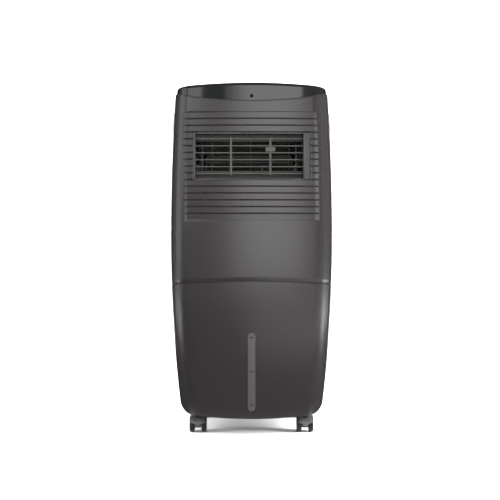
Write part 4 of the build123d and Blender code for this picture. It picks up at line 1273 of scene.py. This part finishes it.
@dataclass
class Studio:
    """White sweep, softboxes, cards and camera, in millimetres and watts."""

    lens: float = 70.8
    sensor: float = 36.0
    eye: tuple[float, float, float] = (-3.6, -2399.0, 427.0)
    far_clip: float = 50000.0
    fill: float = 0.3
    soft_fill: float = 0.3
    sweep_radius: float = 1500.0
    sweep_back: float = 2600.0
    sweep_top: float = 6000.0
    sweep_reach: float = 9000.0
    sweep_front: float = -2000.0
    sweep_wall: float = 5.0
    flag_reach: float = 1500.0
    flag_middle: tuple[float, float] = (1300.0, 1200.0)
    flag_size: tuple[float, float] = (1800.0, 2600.0)
    flag_half_wall: float = 5.0
    card_levels: tuple[float, float] = (2.0, 4.0)
    panel_start: float = -107.0
    panel_end: float = 1040.0
    panel_distance: float = 4000.0
    panel_level: float = 1250.0
    panel_height: float = 2300.0
    panel_strength: float = 10.6
    panel_fade: tuple[float, ...] = (0.8, 0.55, 0.3)
    fade_width: float = 137.0

    def sweep(self) -> None:
        """Build the floor that curves up behind the object."""
        radius, reach = self.sweep_radius, self.sweep_reach
        turn = np.linspace(0, math.pi / 2, 25)
        bend_y, bend_z = self.sweep_back - radius + radius * np.sin(turn), radius - radius * np.cos(turn)
        y = np.concatenate([[-reach, self.sweep_front], bend_y, [self.sweep_back]])
        z = np.concatenate([[0.0, 0.0], bend_z, [self.sweep_top]])
        x = np.array([-reach, reach])
        face = np.stack(np.broadcast_arrays(x[:, None], y, z), axis=-1)
        floor = make_piece("studio_sweep", *shell(face, face + np.array([0, self.sweep_wall, -self.sweep_wall])))
        floor.data.materials.append(SWEEP_PAPER.build())

    def front_panels(self) -> None:
        """Hang the wide panel that the front mirrors; it fades towards the left in bands."""
        bands = [(self.panel_start, self.panel_end, 1.0)]
        edge = self.panel_start
        for share in self.panel_fade:
            bands.append((edge - self.fade_width, edge, share))
            edge -= self.fade_width
        for number, (start, end, share) in enumerate(bands):
            place = ((start + end) / 2, -self.panel_distance, self.panel_level)
            area = (end - start) * self.panel_height * MM**2
            Softbox(f"front_panel_{number}", place, (end - start, self.panel_height),
                    self.panel_strength * area * share, (place[0], 0.0, place[2]), mirrored=True).hang()

    def flags(self) -> None:
        """Place cards that only glossy surfaces see: black at the sides and on the floor, one grey in front."""
        felts = {finish: finish.build() for finish in (BLACK_FELT, GREY_CARD)}
        wall = self.flag_half_wall
        blocks = [(name, BLACK_FELT, prism(Along.X, self.flag_middle, self.flag_size, 1.0, (at - wall, at + wall)))
                  for name, at in (("flag_left", -self.flag_reach), ("flag_right", self.flag_reach))]
        blocks += [(name, finish, prism(Along.Z, centre, size, 1.0, self.card_levels))
                   for name, finish, centre, size in FLOOR_CARDS]
        for name, finish, block in blocks:
            flag = make_piece(name, *block)
            flag.data.materials.append(felts[finish])
            flag.visible_camera = flag.visible_diffuse = flag.visible_shadow = False

    def room(self) -> None:
        """Set the surroundings: white to the camera, softer as light."""
        world = bpy.data.worlds.new("studio_room")
        bpy.context.scene.world = world
        world.use_nodes = True
        tree = world.node_tree
        tree.nodes.clear()
        ray = add_node(tree, "LightPath")
        soft = add_node(tree, "Math", {"operation": "MULTIPLY_ADD"}, {0: ray.outputs["Is Diffuse Ray"]})
        soft.inputs[1].default_value = self.soft_fill
        soft.inputs[2].default_value = self.fill
        strength = add_node(tree, "Math", {"operation": "MULTIPLY_ADD"},
                            {0: ray.outputs["Is Camera Ray"], 2: soft.outputs[0]})
        strength.inputs[1].default_value = 1.0 - self.fill
        sky = add_node(tree, "Background", links={"Strength": strength.outputs[0]}, Color=(1.0, 1.0, 1.0, 1.0))
        add_node(tree, "OutputWorld", links={"Surface": sky.outputs["Background"]})

    def camera(self) -> None:
        """Place the camera level and square to the front."""
        lens = bpy.data.cameras.new("studio_camera")
        lens.lens, lens.sensor_width = self.lens, self.sensor
        lens.clip_end = self.far_clip * MM
        holder = bpy.data.objects.new("studio_camera", lens)
        bpy.context.scene.collection.objects.link(holder)
        holder.location = [value * MM for value in self.eye]
        holder.rotation_euler = (math.pi / 2, 0.0, 0.0)
        bpy.context.scene.camera = holder

    def build(self) -> None:
        """Build the studio."""
        self.sweep()
        self.room()
        self.camera()
        self.flags()
        for box in SOFTBOXES:
            box.hang()
        self.front_panels()
        for strip in STRIPS:
            strip.hang()
        bpy.context.scene.view_settings.view_transform = "Standard"


def main() -> None:
    """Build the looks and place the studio."""
    painter = Painter()
    barrel = Barrel()
    nodes = frame["nodes"]
    painter.stand_in(SlattedHousing(barrel).front(), "front_housing", SATIN_ABS, "cabinet")
    pane, marks = LevelWindow(barrel).build()
    painter.stand_in(pane, "level_window", SMOKED_WINDOW, "cabinet")
    painter.paint(marks, MARK_INK, "cabinet")
    outlet = Outlet()
    painter.paint(outlet.fascia(), DUCT_ABS, "cabinet")
    painter.paint(outlet.cheeks(), CHEEK_ABS, "cabinet")
    for number in range(1, 6):
        name = f"deflector_blade_{number}"
        painter.stand_in(outlet.deflector(number), name, DUCT_ABS, name)
    for side, node in ((-1, "handle_left"), (1, "handle_right")):
        painter.stand_in(SideGrip(barrel, side, node).build(), node, GRIP_ABS, "cabinet")
    for corner in ("front_left", "front_right", "rear_left", "rear_right"):
        castor = Castor(corner)
        painter.stand_in(castor.hood(), f"castor_{corner}", HOOD_NYLON, f"castor_{corner}")
        # The collar takes the wheels' near-black finish, partly as painted shadow of the stem's hole.
        painter.paint(castor.collar(), WHEEL_NYLON_AND_COLLAR_SHADE, f"castor_{corner}")
        for side in ("left", "right"):
            name = f"wheel_{corner}_{side}"
            painter.stand_in(castor.wheel(side), name, WHEEL_NYLON_AND_COLLAR_SHADE, name)
    painter.repaint(nodes, {"ir_receiver": EYE_LENS, "louvre_link_left": LINK_ABS, "louvre_link_right": TAB_ABS})
    Studio().build()


if __name__ == "__main__":
    main()
